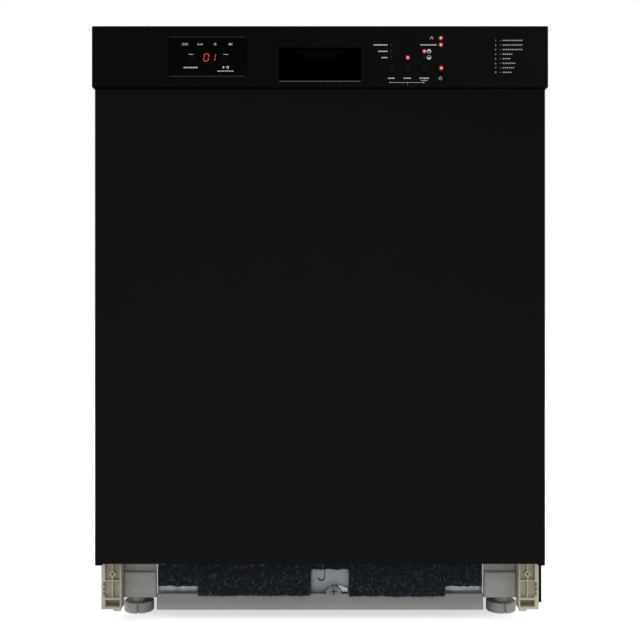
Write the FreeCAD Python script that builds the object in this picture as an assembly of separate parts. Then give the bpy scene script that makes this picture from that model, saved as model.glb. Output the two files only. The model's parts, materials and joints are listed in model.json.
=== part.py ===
"""Built-in dishwasher, 60 cm class: one STEP file for each sub-part.

Millimetres. +X to the right of someone facing the door, -Y to the front, +Z up. The origin lies on the floor,
under the middle of the machine. Most places are given as a depth behind the face of the control panel.
"""
import FreeCAD, Part
import math
import os

V = FreeCAD.Vector

# ---- Body, door and the hinge line ------------------------------------------------------------------------
BODY_HEIGHT = 815.0
BODY_DEPTH = 570.0
BODY_WIDTH = 590.0
FASCIA_LAP = 4.0
FASCIA_TOP_GAP = 17.0
FASCIA_HEIGHT = 81.0
FASCIA_DEPTH = 30.0
FASCIA_WALL = 2.5
DOOR_LAP = 0.5
DOOR_BOTTOM = 90.2
DOOR_EAR = 9.0
DOOR_EAR_DROP = 2.2
DOOR_SETBACK = 3.0
DOOR_THICKNESS = 55.0
DOOR_SHEET = 1.0
DOOR_FLANGE = 31.0
DOOR_FLANGE_SLOT = 3.0
FASCIA_GAP = 0.5
EDGE_ROUND = 1.5
DOOR_EDGE_ROUND = 0.8
FRONT_CORNER_ROUND = 1.8
CORNER_ROUND = 2.5
INNER_DOOR_MARGIN = 12.0
INNER_DOOR_RISE = 2.0
INNER_DOOR_DEPTH = 22.0
INNER_DOOR_DROP = 2.0
NOTCH_WIDTH = 13.0
NOTCH_RISE = 20.0
HINGE_INSET = 26.0
HINGE_RISE = 7.8
SWING_CLEARANCE = 1.45
LIP_RISE = 2.0
BUTTON_PROUD = 1.4

# ---- Clearances -------------------------------------------------------------------------------------------
SEAT = 0.3
RUN = 0.05
SLIDE = 0.5
TOUCH = 0.01
PARALLEL = 0.999

FRONT = (BUTTON_PROUD - BODY_DEPTH) / 2
BODY_X = BODY_WIDTH / 2
FASCIA_X = BODY_X + FASCIA_LAP
FASCIA_TOP = BODY_HEIGHT - FASCIA_TOP_GAP
FASCIA_BOTTOM = FASCIA_TOP - FASCIA_HEIGHT
DOOR_X = BODY_X + DOOR_LAP
DOOR_TOP = FASCIA_BOTTOM - FASCIA_GAP
DOOR_INNER = DOOR_SETBACK + DOOR_THICKNESS
INNER_X = BODY_X - INNER_DOOR_MARGIN
INNER_BOTTOM = DOOR_BOTTOM + INNER_DOOR_RISE
INNER_TOP = FASCIA_TOP - INNER_DOOR_DROP
HINGE_D = DOOR_SETBACK + HINGE_INSET
HINGE_Z = DOOR_BOTTOM + HINGE_RISE
FACE_TO_AXIS = DOOR_INNER - HINGE_D
FRAME_D = HINGE_D + math.hypot(FACE_TO_AXIS, HINGE_RISE) + SWING_CLEARANCE
LIP_Z = HINGE_Z + FACE_TO_AXIS + LIP_RISE

# ---- Hinges and springs -----------------------------------------------------------------------------------
ARM_THICKNESS = 2.7
ARM_HEIGHT = 232.0
ARM_WIDTH = 16.0
ARM_INSET = 2.0
EYE_RADIUS = 9.0
PIN_RADIUS = 4.0
PIN_HEAD = 6.5
PIN_HEAD_THICKNESS = 2.0
BRACKET_THICKNESS = 3.0
BRACKET_LENGTH = 100.0
BRACKET_DROP = 38.0
BRACKET_RISE = 13.0
TAIL_REACH = 21.0
TAIL_RISE = 5.0
TAIL_PIN = 2.5
TAIL_PIN_LENGTH = 8.0
SPRING_RADIUS = 4.2
SPRING_WIRE = 1.1
SPRING_START = 100.0
SPRING_LENGTH = 154.0

# ---- Tub and its frame ------------------------------------------------------------------------------------
TUB_MARGIN = 23.0
TUB_SHEET = 0.8
TUB_TOP_GAP = 43.0
TUB_REAR_GAP = 30.0
TUB_INSET = 1.5
LEDGE_WIDTH = 36.0
TUB_WELL = 10.0
FRAME_MARGIN = 10.0
FRAME_BOTTOM = 110.0
FRAME_DEPTH = 15.5
FRAME_SHEET = 1.5
GASKET_WIDTH = 7.0
GASKET_INSET = 1.5
BLANKET_THICKNESS = 11.0
BLANKET_DROP = 560.0
PANEL_SHEET = 0.8
PANEL_BOTTOM = 96.8
PANEL_FLANGE = 11.0
PANEL_FOOT_GAP = 60.0
STRIKE_WIDTH = 20.0
STRIKE_HEIGHT = 5.0
STRIKE_DROP = 8.5
STRIKE_REACH = 16.5

TUB_X = BODY_X - TUB_MARGIN
TUB_TOP = BODY_HEIGHT - TUB_TOP_GAP
TUB_REAR = BODY_DEPTH - TUB_REAR_GAP
TUB_IN = TUB_X - TUB_SHEET
TUB_FRONT = FRAME_D + TUB_INSET
TUB_BACK = TUB_REAR - TUB_SHEET
TUB_FLOOR = LIP_Z - TUB_WELL
TUB_CEILING = TUB_TOP - TUB_SHEET
FRAME_X = BODY_X - FRAME_MARGIN
FRAME_TOP = BODY_HEIGHT - PANEL_SHEET
FRAME_BACK = FRAME_D + FRAME_DEPTH
ARM_X = INNER_X
BRACKET_X = ARM_X + ARM_THICKNESS + SEAT

# ---- Base -------------------------------------------------------------------------------------------------
TRAY_BOTTOM = 28.0
TRAY_TOP = 96.0
TRAY_WALL = 3.0
TRAY_REAR_GAP = 20.0
POST_WIDTH = 30.0
POST_LENGTH = 26.0
FOOT_INSET = 38.0
FOOT_D = 112.0
FOOT_RADIUS = 20.9
FOOT_HEIGHT = 14.5
FOOT_ROUND = 2.0
STEM_RADIUS = 9.0
STEM_TOP = 62.0
FOOT_SLOT_WIDTH = 2.5
FOOT_SLOT_DEPTH = 4.5
FOOT_SLOT_OFFSET = 2.0
REAR_FOOT_INSET = 55.0
REAR_FOOT_WIDTH = 90.0
REAR_FOOT_LENGTH = 44.0
BOSS_WALL = 6.0
BOSS_CAP = 4.0
RAIL_FACE = 60.0
RAIL_BOTTOM = 15.0
RAIL_TOP = 37.3
RAIL_WALL = 2.5
RAIL_BOSS_X = 18.8
RAIL_BOSS_RADIUS = 10.3
RAIL_BOSS_DEPTH = 4.0
SCREW_HEAD_RADIUS = 5.5
SCREW_HEAD_HEIGHT = 2.6
SCREW_SHANK = 2.1
SCREW_SLOT = 1.8
SCREW_SLOT_LENGTH = 8.0
SCREW_SLOT_DEPTH = 1.3
SCREW_RISE = 3.4
SCREW_LENGTH = 13.0
PLATE_SHEET = 1.2
PLATE_TOP = 106.0
MAT_THICKNESS = 9.0
MAT_TOP = 104.0
WINDOW_LEFT = -12.1
WINDOW_RIGHT = 39.4
WINDOW_TOP = 69.0
MAT_NOTCH_LEFT = 54.5
MAT_NOTCH_RIGHT = 53.0
MAT_NOTCH_HEIGHT = 9.0
TAB_SLOT = 1.3
TAB_X = 5.9
TAB_TOP = 70.0
TAB_BOTTOM = 56.0
TAB_HOOK = 5.4
TAB_HOOK_SWELL = 0.8
HOUSING_WIDTH = 44.4
HOUSING_FACE = 55.0
HOUSING_BOTTOM = 32.8
HOUSING_TOP = 68.3
HOUSING_LEDGE_FACE = 62.0
HOUSING_LEDGE_TOP = 100.0
HOUSING_ROUND = 3.0
CORNER_PROUD = 0.2
CORNER_WIDTH = 26.8
CORNER_FACE = 40.0
CORNER_BACK = 62.0
CORNER_TOP = 84.0
CORNER_BOTTOM = 21.7
CORNER_OUTER_RIM = 5.2
CORNER_INNER_RIM = 2.0
CORNER_WALL = 2.6
CORNER_WEB = 1.6
CORNER_WEB_SETBACK = 2.0
CORNER_RIB_Z = 60.0
CORNER_BLOCK_TOP = 80.0
CORNER_BLOCK_BOTTOM = 32.0
POCKET_BOTTOM = 24.9
POCKET_TOP = 34.4
CORNER_CAVITY_DEPTH = 9.0
CORNER_POCKET_DEPTH = 19.6
PILOT_INSET = 14.6
PILOT_Z = 69.0
PILOT_RADIUS = 1.8
PILOT_DEPTH = 14.0
DIAMOND = 5.2
DIAMOND_SETBACK = 1.5
SCALLOP_RADIUS = 3.0
SCALLOP_PITCH = 6.6
SCALLOP_START = 56.0
SCALLOPS = 3
TAB_OUT_INSET = 16.3
TAB_IN_INSET = 0.6
TAB_DROP = 2.4
TAB_DEPTH = 6.0
STRIP_THICKNESS = 3.7
STRIP_FACE = 40.5
STRIP_BOTTOM = 31.0
STRIP_STEP = 84.0
STRIP_TOP_GAP = 25.0
STRIP_DEPTH = 15.0
STRIP_GROOVE = 0.8

TRAY_D = FRAME_BACK + SEAT
TRAY_REAR = BODY_DEPTH - TRAY_REAR_GAP
REAR_FOOT_D = TRAY_REAR - REAR_FOOT_INSET
FOOT_X = BODY_X - FOOT_INSET
CORNER_OUTER = BODY_X + CORNER_PROUD
CORNER_INNER = CORNER_OUTER - CORNER_WIDTH
HOUSING_INNER = CORNER_INNER - HOUSING_WIDTH
PILOT_X = CORNER_OUTER - PILOT_INSET
TAB_OUT = CORNER_OUTER - TAB_OUT_INSET
TAB_IN = CORNER_INNER + TAB_IN_INSET
STRIP_TOP = BODY_HEIGHT - STRIP_TOP_GAP
TRAY_X = BRACKET_X
PLATE_BACK = TRAY_D - SEAT
STEM_BORE = STEM_RADIUS + SEAT

# ---- Wet parts --------------------------------------------------------------------------------------------
SUMP_WIDTH = 166.0
SUMP_FRONT = 190.0
SUMP_BACK = 365.0
SUMP_BOTTOM = 45.0
SUMP_WALL = 3.0
SUMP_RIM = 3.0
FILTER_D = 232.0
FILTER_RADIUS = 30.0
FILTER_WALL = 1.6
FILTER_DEPTH = 55.0
FILTER_CAP = 34.0
FILTER_CAP_HEIGHT = 4.0
FILTER_GRIP = 8.0
FILTER_PLATE = 1.5
FILTER_PLATE_LAP = 8.0
HUB_D = 310.0
HUB_RADIUS = 12.0
HUB_BORE = 8.0
HUB_COLLAR = 15.0
HUB_COLLAR_HEIGHT = 2.5
COLLAR_RISE = 22.0
ARM_HUB_RADIUS = 20.0
ARM_HUB_HEIGHT = 18.0
SPRAY_CLEARANCE = 2.9
SPRAY_ROOT = 36.0
SPRAY_TIP = 22.0
SPRAY_THICKNESS = 11.0
SPRAY_ROUND = 2.7
HEATER_D = 275.0
HEATER_RING = 165.0
HEATER_TUBE = 3.25
HEATER_BLOCK = 30.0
DUCT_WIDTH = 28.0
DUCT_RISE = 7.2
DUCT_HEIGHT = 13.0
RISER_RADIUS = 13.0
DOCK_Z = 461.0
DOCK_RADIUS = 9.0
DOCK_REACH = 12.0
TOP_RUN_DROP = 17.0
TOP_RUN_RADIUS = 9.0
TOP_NOZZLE_RADIUS = 28.0
TOP_NOZZLE_HEIGHT = 12.0
CLIP_RADIUS = 5.0
PUMP_RADIUS = 36.0
PUMP_LENGTH = 112.0
PUMP_STUB = 15.0
PUMP_STUB_RADIUS = 14.0
PUMP_D = 300.0
PUMP_Z = 74.0
DRAIN_RADIUS = 24.0
DRAIN_LENGTH = 52.0
DRAIN_D = 230.0
DRAIN_Z = 66.0
DRAIN_SPIGOT = 10.5
DRAIN_BORE = 8.0
BEAD_REACH = 6.0
BEAD_WIDTH = 3.0
REAR_REACH = 18.0
INLET_INSET = 71.0
INLET_Z = 64.0
INLET_RADIUS = 13.2
INLET_NECK = 12.0
INLET_BORE = 9.0
INLET_BODY = 34.0
INLET_LENGTH = 48.0
TERMINAL_X = -80.0
TERMINAL_Z = 64.0
TERMINAL_WIDTH = 70.0
TERMINAL_HEIGHT = 44.0
TERMINAL_LENGTH = 40.0
GLAND_RADIUS = 9.0
GLAND_BORE = 5.0
GLAND_LENGTH = 14.0

FILTER_TOP = TUB_FLOOR + FILTER_PLATE
COLLAR_Z = TUB_FLOOR + COLLAR_RISE
SPRAY_Z = COLLAR_Z + HUB_COLLAR_HEIGHT + SEAT
RISER_D = TUB_BACK - RISER_RADIUS - SEAT
SPRAY_LENGTH = RISER_D - RISER_RADIUS - HUB_D - SPRAY_CLEARANCE
TOP_RUN_Z = TUB_TOP - TOP_RUN_DROP
DUCT_Z = TUB_FLOOR + DUCT_RISE
INLET_X = INLET_INSET - TRAY_X

# ---- Racks ------------------------------------------------------------------------------------------------
WIRE = 4.0
WIRE_STEP = 1.0
LOWER_MARGIN = 22.0
LOWER_FRONT = 83.0
LOWER_REAR_GAP = 34.0
LOWER_FLOOR = 172.0
LOWER_RIM = 300.0
LOWER_SLOPE = 26.0
LOWER_PITCH_X = 62.0
LOWER_PITCH_D = 66.0
WHEEL_RADIUS = 18.0
WHEEL_WIDTH = 11.0
WHEEL_INSET = 7.5
WHEEL_HOLES = 5
AXLE_RADIUS = 4.0
AXLE_CAP = 6.5
AXLE_CAP_WIDTH = 1.5
HANGER = 5.0
HANGER_WIDTH = 18.0
HANGER_MARGIN = 2.0
FRONT_WHEEL_D = 218.0
REAR_WHEEL_INSET = 54.0
TINE_HEIGHT = 62.0
TINE_PITCH = 33.0
TINE_ROWS = (-150.0, -40.0)
BASKET_WIDTH = 124.0
BASKET_SIDE = 22.0
BASKET_FRONT = 140.0
BASKET_BACK = 266.0
BASKET_HEIGHT = 118.0
BASKET_WALL = 2.0
UPPER_MARGIN = 20.0
UPPER_FRONT = 88.0
UPPER_REAR_GAP = 40.0
UPPER_FLOOR = 474.0
UPPER_RIM = 596.0
UPPER_SLOPE = 12.0
UPPER_PITCH_X = 50.0
UPPER_PITCH_D = 68.0
RUNNER_THICKNESS = 3.5
RUNNER_BOTTOM = 512.0
RUNNER_HEIGHT = 36.0
RAIL_LENGTH_START = 92.0
RAIL_REAR_GAP = 20.0
CHANNEL_SHEET = 1.2
CHANNEL_HEIGHT = 30.0
CHANNEL_DEPTH = 9.2
MANIFOLD_RADIUS = 8.0
UPPER_ARM_DROP = 6.0

LOWER_X = TUB_X - LOWER_MARGIN
LOWER_REAR = TUB_REAR - LOWER_REAR_GAP
WHEEL_X = LOWER_X - WHEEL_INSET
REAR_WHEEL_D = LOWER_REAR - REAR_WHEEL_INSET
BASKET_RIGHT = LOWER_X - BASKET_SIDE
BASKET_LEFT = BASKET_RIGHT - BASKET_WIDTH
UPPER_X = TUB_X - UPPER_MARGIN
UPPER_REAR = TUB_REAR - UPPER_REAR_GAP
RAIL_LENGTH_END = TUB_REAR - RAIL_REAR_GAP
WHEEL_Z = LIP_Z + SEAT + WHEEL_RADIUS
CHANNEL_Z = RUNNER_BOTTOM + (RUNNER_HEIGHT - CHANNEL_HEIGHT) / 2

# ---- Control panel ----------------------------------------------------------------------------------------
WINDOW_X0 = -198.0
WINDOW_X1 = -96.0
WINDOW_DROP = 14.7
WINDOW_HEIGHT = 51.2
WINDOW_SINK = 1.2
WINDOW_THICKNESS = 2.0
WINDOW_LAP = 2.5
DISPLAY_BUTTONS = (-169.3, -123.7)
DISPLAY_BUTTON_DROP = 43.2
DISPLAY_BUTTON_RADIUS = 7.5
PANEL_BUTTONS = (93.8, 114.8, 136.8, 158.6)
PANEL_BUTTON_DROP = 55.6
PANEL_BUTTON_RADIUS = 6.5
BUTTON_TRAVEL = 1.2
BUTTON_ROUND = 0.9
PLUNGER_RADIUS = 3.0
LENS_RADIUS = 1.7
LENSES = ((158.2, 16.0), (158.2, 24.8), (136.7, 33.3), (115.0, 41.6),
          (93.5, 24.8), (93.5, 33.0), (93.5, 40.9), (136.7, 40.9))
POCKET_WIDTH = 107.4
POCKET_DROP = 28.5
POCKET_HEIGHT = 44.0
POCKET_DEPTH = 37.0
POCKET_WALL = 2.5
SURROUND = 8.5
SURROUND_LINE = 0.8
SURROUND_DEPTH = 0.35
LEVER_FACE = 5.0
LEVER_HEIGHT = 12.0
LEVER_REAR_HEIGHT = 6.0
LEVER_LENGTH = 29.0
LEVER_SIDE = 1.0
LEVER_TOP = 1.3
LEVER_PIN = 2.0
LEVER_PIN_INSET = 4.0
LEVER_PIN_DROP = 3.0
CHASSIS_WALL = 2.0
BOARD_D = 20.0
BOARD_THICKNESS = 1.6
BOARD_HEIGHT = 66.0
BOARD_DROP = 7.0
BOARD_LEFT = -210.0
BOARD_RIGHT = 188.0
BOARD_GAP = 6.0
DISPLAY_X0 = -160.0
DISPLAY_X1 = -133.0
DISPLAY_HEIGHT = 20.0
LATCH_WIDTH = 44.0
LATCH_HEIGHT = 21.0
LATCH_DEPTH = 22.0
LATCH_WALL = 2.0
LATCH_PIN = 2.4
LATCH_PIN_INSET = 7.0
LATCH_PIN_RISE = 7.4
HOOK_WIDTH = 8.0
HOOK_BAR = 1.9
HOOK_EYE = 4.3
HOOK_GAP = 0.6
HOOK_TOOTH = 4.0
STRIKE_CLEARANCE = 3.0

# ---- Detergent dispenser ----------------------------------------------------------------------------------
DISPENSER_X0 = -140.0
DISPENSER_X1 = 112.0
DISPENSER_Z0 = 410.0
DISPENSER_Z1 = 510.0
DISPENSER_LAP = 10.0
DISPENSER_FLANGE = 2.0
DISPENSER_DEPTH = 22.0
WELL_X0 = -130.0
WELL_WIDTH = 78.0
WELL_MARGIN = 10.0
WELL_DEPTH = 16.0
LID_LAP = 4.0
LID_THICKNESS = 3.0
LID_GRIP = 3.0
LID_GRIP_INSET = 6.0
CAP_X = 84.0
CAP_RADIUS = 20.0
CAP_THICKNESS = 5.0
CAP_STEM = 12.0
CAP_STEM_LENGTH = 10.0
CAP_GRIP = 3.0

# ---- Rear and top fixings ---------------------------------------------------------------------------------
TOP_TAB_X = 200.0
TOP_TAB_WIDTH = 30.0
TOP_TAB_FRONT = 38.0
TOP_TAB_HOLE = 2.75
TOP_TAB_HOLE_INSET = 9.0
TOP_TAB_SHEET = 2.0
TOP_TAB_DROP = 7.2


# ---- Helpers ----------------------------------------------------------------------------------------------
def box(x0, x1, d0, d1, z0, z1):
    """A block between two X values, two depths behind the panel face and two heights."""
    return Part.makeBox(x1 - x0, d1 - d0, z1 - z0, V(x0, FRONT + d0, z0))


def side_box(side, x0, x1, d0, d1, z0, z1):
    """A block on the left (side -1) or the right (side 1), from X distances off the middle."""
    return box(min(side * x0, side * x1), max(side * x0, side * x1), d0, d1, z0, z1)


def rod_x(x0, x1, d, z, radius):
    """A cylinder along X."""
    return Part.makeCylinder(radius, x1 - x0, V(x0, FRONT + d, z), V(1, 0, 0))


def rod_d(x, d0, d1, z, radius):
    """A cylinder along the depth."""
    return Part.makeCylinder(radius, d1 - d0, V(x, FRONT + d0, z), V(0, 1, 0))


def rod_z(x, d, z0, z1, radius):
    """An upright cylinder."""
    return Part.makeCylinder(radius, z1 - z0, V(x, FRONT + d, z0), V(0, 0, 1))


def side_rod_x(side, x0, x1, d, z, radius):
    """A cylinder along X on one side, from X distances off the middle."""
    return rod_x(min(side * x0, side * x1), max(side * x0, side * x1), d, z, radius)


def side_profile(points, x0, x1):
    """A prism along X whose outline is given as (depth, height) points."""
    wire = Part.makePolygon([V(x0, FRONT + d, z) for d, z in points + points[:1]])
    return Part.Face(wire).extrude(V(x1 - x0, 0, 0))


def front_profile(points, d0, d1):
    """A prism along the depth whose outline is given as (x, height) points."""
    wire = Part.makePolygon([V(x, FRONT + d0, z) for x, z in points + points[:1]])
    return Part.Face(wire).extrude(V(0, d1 - d0, 0))


def plan_profile(points, z0, z1):
    """An upright prism whose outline is given as (x, depth) points."""
    wire = Part.makePolygon([V(x, FRONT + d, z0) for x, d in points + points[:1]])
    return Part.Face(wire).extrude(V(0, 0, z1 - z0))


def joined(first, *others):
    """One solid made of pieces that touch or overlap."""
    return first.fuse(list(others)).removeSplitter()


def rounded(shape, radius, wanted):
    """The shape with a fillet on every edge that the test picks."""
    edges = [edge for edge in shape.Edges if wanted(edge)]
    return shape.makeFillet(radius, edges) if edges else shape


def runs_along(edge, direction):
    """True where a straight edge runs along a direction."""
    if not isinstance(edge.Curve, Part.Line):
        return False
    return abs(edge.Curve.Direction.dot(direction)) > PARALLEL


def at_depth(edge, depth):
    """True where a whole edge lies at one depth."""
    return abs(edge.BoundBox.YMin - FRONT - depth) < TOUCH and abs(edge.BoundBox.YMax - FRONT - depth) < TOUCH


def export(name, *solids):
    """Write one node's solids to its STEP file."""
    shape = solids[0] if len(solids) == 1 else Part.makeCompound(list(solids))
    shape.exportStep("parts/" + name + ".step")


def hull_arm(x, d, z0, z1, length, root, tip):
    """A flat arm that tapers to both ends, seen from above."""
    outline = [(x - length, d - tip / 2), (x, d - root / 2), (x + length, d - tip / 2),
               (x + length, d + tip / 2), (x, d + root / 2), (x - length, d + tip / 2)]
    return plan_profile(outline, z0, z1)


# ---- Base -------------------------------------------------------------------------------------------------
def base_tray():
    """The plastic tray that everything stands in, with posts for the tub and bosses for the feet."""
    shell = box(-TRAY_X, TRAY_X, TRAY_D, TRAY_REAR, TRAY_BOTTOM, TRAY_TOP)
    hollow = box(-TRAY_X + TRAY_WALL, TRAY_X - TRAY_WALL, TRAY_D + TRAY_WALL, TRAY_REAR - TRAY_WALL,
                 TRAY_BOTTOM + TRAY_WALL, TRAY_TOP)
    tray = shell.cut(hollow)
    ledge_under = LIP_Z - TUB_SHEET
    extras = []
    for side in (-1, 1):
        inner = TUB_X - LEDGE_WIDTH + TUB_SHEET
        extras.append(side_box(side, inner, inner + POST_WIDTH, TRAY_D, TRAY_D + POST_LENGTH,
                               TRAY_BOTTOM, ledge_under))
        extras.append(side_box(side, inner, inner + POST_WIDTH, TUB_REAR - POST_LENGTH, TUB_REAR,
                               TRAY_BOTTOM, ledge_under))
        extras.append(rod_z(side * FOOT_X, FOOT_D, TRAY_BOTTOM, STEM_TOP + BOSS_CAP,
                            STEM_BORE + BOSS_WALL))
    extras.append(rod_z(0, REAR_FOOT_D, TRAY_BOTTOM, STEM_TOP + BOSS_CAP, STEM_BORE + BOSS_WALL))
    tray = joined(tray, *extras)
    bores = [rod_z(side * FOOT_X, FOOT_D, TRAY_BOTTOM, STEM_TOP + SEAT, STEM_BORE) for side in (-1, 1)]
    bores.append(rod_z(0, REAR_FOOT_D, TRAY_BOTTOM, STEM_TOP + SEAT, STEM_BORE))
    wall = (TRAY_REAR - TRAY_WALL, TRAY_REAR)
    bores.append(rod_d(INLET_X, wall[0], wall[1], INLET_Z, INLET_RADIUS + SEAT))
    bores.append(rod_d(TERMINAL_X, wall[0], wall[1], TERMINAL_Z, GLAND_RADIUS + SEAT))
    bores.append(rod_d(drain_x(), wall[0], wall[1], DRAIN_Z, DRAIN_SPIGOT + SEAT))
    return tray.cut(bores)


def front_bracket(side):
    """A ribbed corner bracket: ribs over a deep pocket, with a pilot hole in a diamond boss."""
    body = side_box(side, CORNER_INNER, CORNER_OUTER, CORNER_FACE, CORNER_BACK, CORNER_BOTTOM, CORNER_TOP)
    inner = CORNER_INNER + CORNER_INNER_RIM
    outer = CORNER_OUTER - CORNER_OUTER_RIM
    floor = CORNER_FACE + CORNER_CAVITY_DEPTH
    shelf = POCKET_TOP + CORNER_WALL
    cuts = [side_box(side, inner, outer, CORNER_FACE, floor, shelf, CORNER_TOP),
            side_box(side, inner, outer, CORNER_FACE, CORNER_FACE + CORNER_POCKET_DEPTH, POCKET_BOTTOM,
                     POCKET_TOP)]
    for number in range(SCALLOPS):
        cuts.append(rod_d(side * outer, CORNER_FACE, floor, SCALLOP_START - number * SCALLOP_PITCH,
                          SCALLOP_RADIUS))
    body = body.cut(cuts)
    web = CORNER_FACE + CORNER_WEB_SETBACK
    half = CORNER_WEB / 2
    diamond = [(side * PILOT_X, PILOT_Z - DIAMOND), (side * (PILOT_X + DIAMOND), PILOT_Z),
               (side * PILOT_X, PILOT_Z + DIAMOND), (side * (PILOT_X - DIAMOND), PILOT_Z)]
    ribs = [side_box(side, PILOT_X - half, PILOT_X + half, web, floor, shelf, CORNER_TOP),
            side_box(side, inner, outer, web, floor, CORNER_RIB_Z - half, CORNER_RIB_Z + half),
            front_profile(diamond, CORNER_FACE + DIAMOND_SETBACK, floor),
            side_box(side, TAB_IN, TAB_OUT, CORNER_FACE, CORNER_FACE + TAB_DEPTH,
                     CORNER_BOTTOM - TAB_DROP, CORNER_BOTTOM),
            side_box(side, CORNER_INNER, BRACKET_X - SLIDE, CORNER_BACK, PLATE_BACK,
                     CORNER_BLOCK_BOTTOM, CORNER_BLOCK_TOP)]
    body = joined(body, *ribs)
    pilot = rod_d(side * PILOT_X, CORNER_FACE + DIAMOND_SETBACK, CORNER_FACE + DIAMOND_SETBACK + PILOT_DEPTH,
                  PILOT_Z, PILOT_RADIUS)
    return body.cut(pilot)


def leg_housing(side):
    """The smooth box above a front foot, with a set-back ledge on top."""
    outer = CORNER_INNER - SEAT
    face = side_box(side, HOUSING_INNER, outer, HOUSING_FACE, PLATE_BACK, HOUSING_BOTTOM, HOUSING_TOP)
    face = rounded(face, HOUSING_ROUND, lambda edge: at_depth(edge, HOUSING_FACE))
    ledge = side_box(side, HOUSING_INNER, outer, HOUSING_LEDGE_FACE, PLATE_BACK, HOUSING_TOP - EDGE_ROUND,
                     HOUSING_LEDGE_TOP)
    return joined(face, ledge)


def front_rail():
    """The channel across the foot of the machine, open above, with a screw post in a round boss."""
    half = HOUSING_INNER - SEAT
    rail = box(-half, half, RAIL_FACE, PLATE_BACK, RAIL_BOTTOM, RAIL_TOP)
    rail = rounded(rail, EDGE_ROUND, lambda edge: at_depth(edge, RAIL_FACE) and runs_along(edge, V(1, 0, 0)))
    hollow = box(-half, half, RAIL_FACE + RAIL_WALL, PLATE_BACK, RAIL_BOTTOM + RAIL_WALL, RAIL_TOP)
    rail = rail.cut(hollow)
    plate_front = PLATE_BACK - PLATE_SHEET - SEAT
    boss = rod_d(RAIL_BOSS_X, RAIL_FACE, RAIL_FACE + RAIL_BOSS_DEPTH, RAIL_TOP, RAIL_BOSS_RADIUS)
    post = rod_d(RAIL_BOSS_X, RAIL_FACE, plate_front, screw_z(), SCREW_HEAD_RADIUS)
    rail = joined(rail, boss, post)
    return rail.cut(rod_d(RAIL_BOSS_X, RAIL_FACE, PLATE_BACK, screw_z(), SCREW_SHANK + SEAT))


def screw_z():
    """The height of the screw in the rail's boss."""
    return RAIL_TOP + SCREW_RISE


def cross_plate():
    """The galvanised plate behind the fibre mats, with a punched hook-shaped slot."""
    front = PLATE_BACK - PLATE_SHEET
    half = HOUSING_INNER - SEAT
    plate = box(-half, half, front, PLATE_BACK, RAIL_BOTTOM + RAIL_WALL + SEAT, PLATE_TOP)
    upright = box(TAB_X, TAB_X + TAB_SLOT, front, PLATE_BACK, TAB_BOTTOM, TAB_TOP)
    hook_x = TAB_X + TAB_SLOT - TAB_HOOK
    inner_z = TAB_BOTTOM + TAB_HOOK_SWELL
    hook = rod_d(hook_x, front, PLATE_BACK, TAB_BOTTOM, TAB_HOOK)
    hook = hook.cut([rod_d(hook_x, front, PLATE_BACK, inner_z, TAB_HOOK - TAB_SLOT),
                     box(hook_x - TAB_HOOK, hook_x + TAB_HOOK, front, PLATE_BACK, TAB_BOTTOM,
                          inner_z + TAB_HOOK)])
    screw = rod_d(RAIL_BOSS_X, front, PLATE_BACK, screw_z(), SCREW_SHANK + SEAT)
    return plate.cut([upright, hook, screw])


def fibre_mat(x0, x1, notch_width, notch_on_left, bridge=0.0):
    """One fibre mat, with a corner cut out beside the leg housing and a bridge over the plate's window."""
    back = PLATE_BACK - PLATE_SHEET - SEAT
    mat = box(x0, x1, back - MAT_THICKNESS, back, RAIL_TOP + SEAT, MAT_TOP)
    if bridge:
        mat = joined(mat, box(x0, x1 + bridge, back - MAT_THICKNESS, back, WINDOW_TOP, MAT_TOP))
    start = x0 if notch_on_left else x1 - notch_width
    notch = box(start, start + notch_width, back - MAT_THICKNESS, back, RAIL_TOP + SEAT,
                RAIL_TOP + SEAT + MAT_NOTCH_HEIGHT)
    return mat.cut(notch)


def base_screw():
    """The cross-head screw that holds the rail to the plate."""
    z = screw_z()
    head = rod_d(RAIL_BOSS_X, RAIL_FACE - SCREW_HEAD_HEIGHT, RAIL_FACE, z, SCREW_HEAD_RADIUS)
    head = rounded(head, EDGE_ROUND, lambda edge: at_depth(edge, RAIL_FACE - SCREW_HEAD_HEIGHT))
    shank = rod_d(RAIL_BOSS_X, RAIL_FACE, RAIL_FACE + SCREW_LENGTH, z, SCREW_SHANK)
    bar = SCREW_SLOT_LENGTH / 2
    depth = (RAIL_FACE - SCREW_HEAD_HEIGHT, RAIL_FACE - SCREW_HEAD_HEIGHT + SCREW_SLOT_DEPTH)
    half = SCREW_SLOT / 2
    slots = [box(RAIL_BOSS_X - bar, RAIL_BOSS_X + bar, depth[0], depth[1], z - half, z + half),
             box(RAIL_BOSS_X - half, RAIL_BOSS_X + half, depth[0], depth[1], z - bar, z + bar)]
    return joined(head, shank).cut(slots)


def side_strip():
    """The black strip down the right-hand side: it steps forward below the door."""
    back = FRAME_D + STRIP_DEPTH
    outline = [(STRIP_FACE, STRIP_BOTTOM), (STRIP_FACE, STRIP_STEP), (FRAME_D, STRIP_STEP),
               (FRAME_D, STRIP_TOP), (back, STRIP_TOP), (back, STRIP_BOTTOM)]
    strip = side_profile(outline, BODY_X + SEAT, BODY_X + SEAT + STRIP_THICKNESS)
    middle = BODY_X + SEAT + STRIP_THICKNESS / 2
    groove = box(middle - STRIP_GROOVE / 2, middle + STRIP_GROOVE / 2, STRIP_FACE, STRIP_FACE + STRIP_GROOVE,
                 STRIP_BOTTOM, STRIP_STEP)
    return strip.cut(groove)


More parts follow.
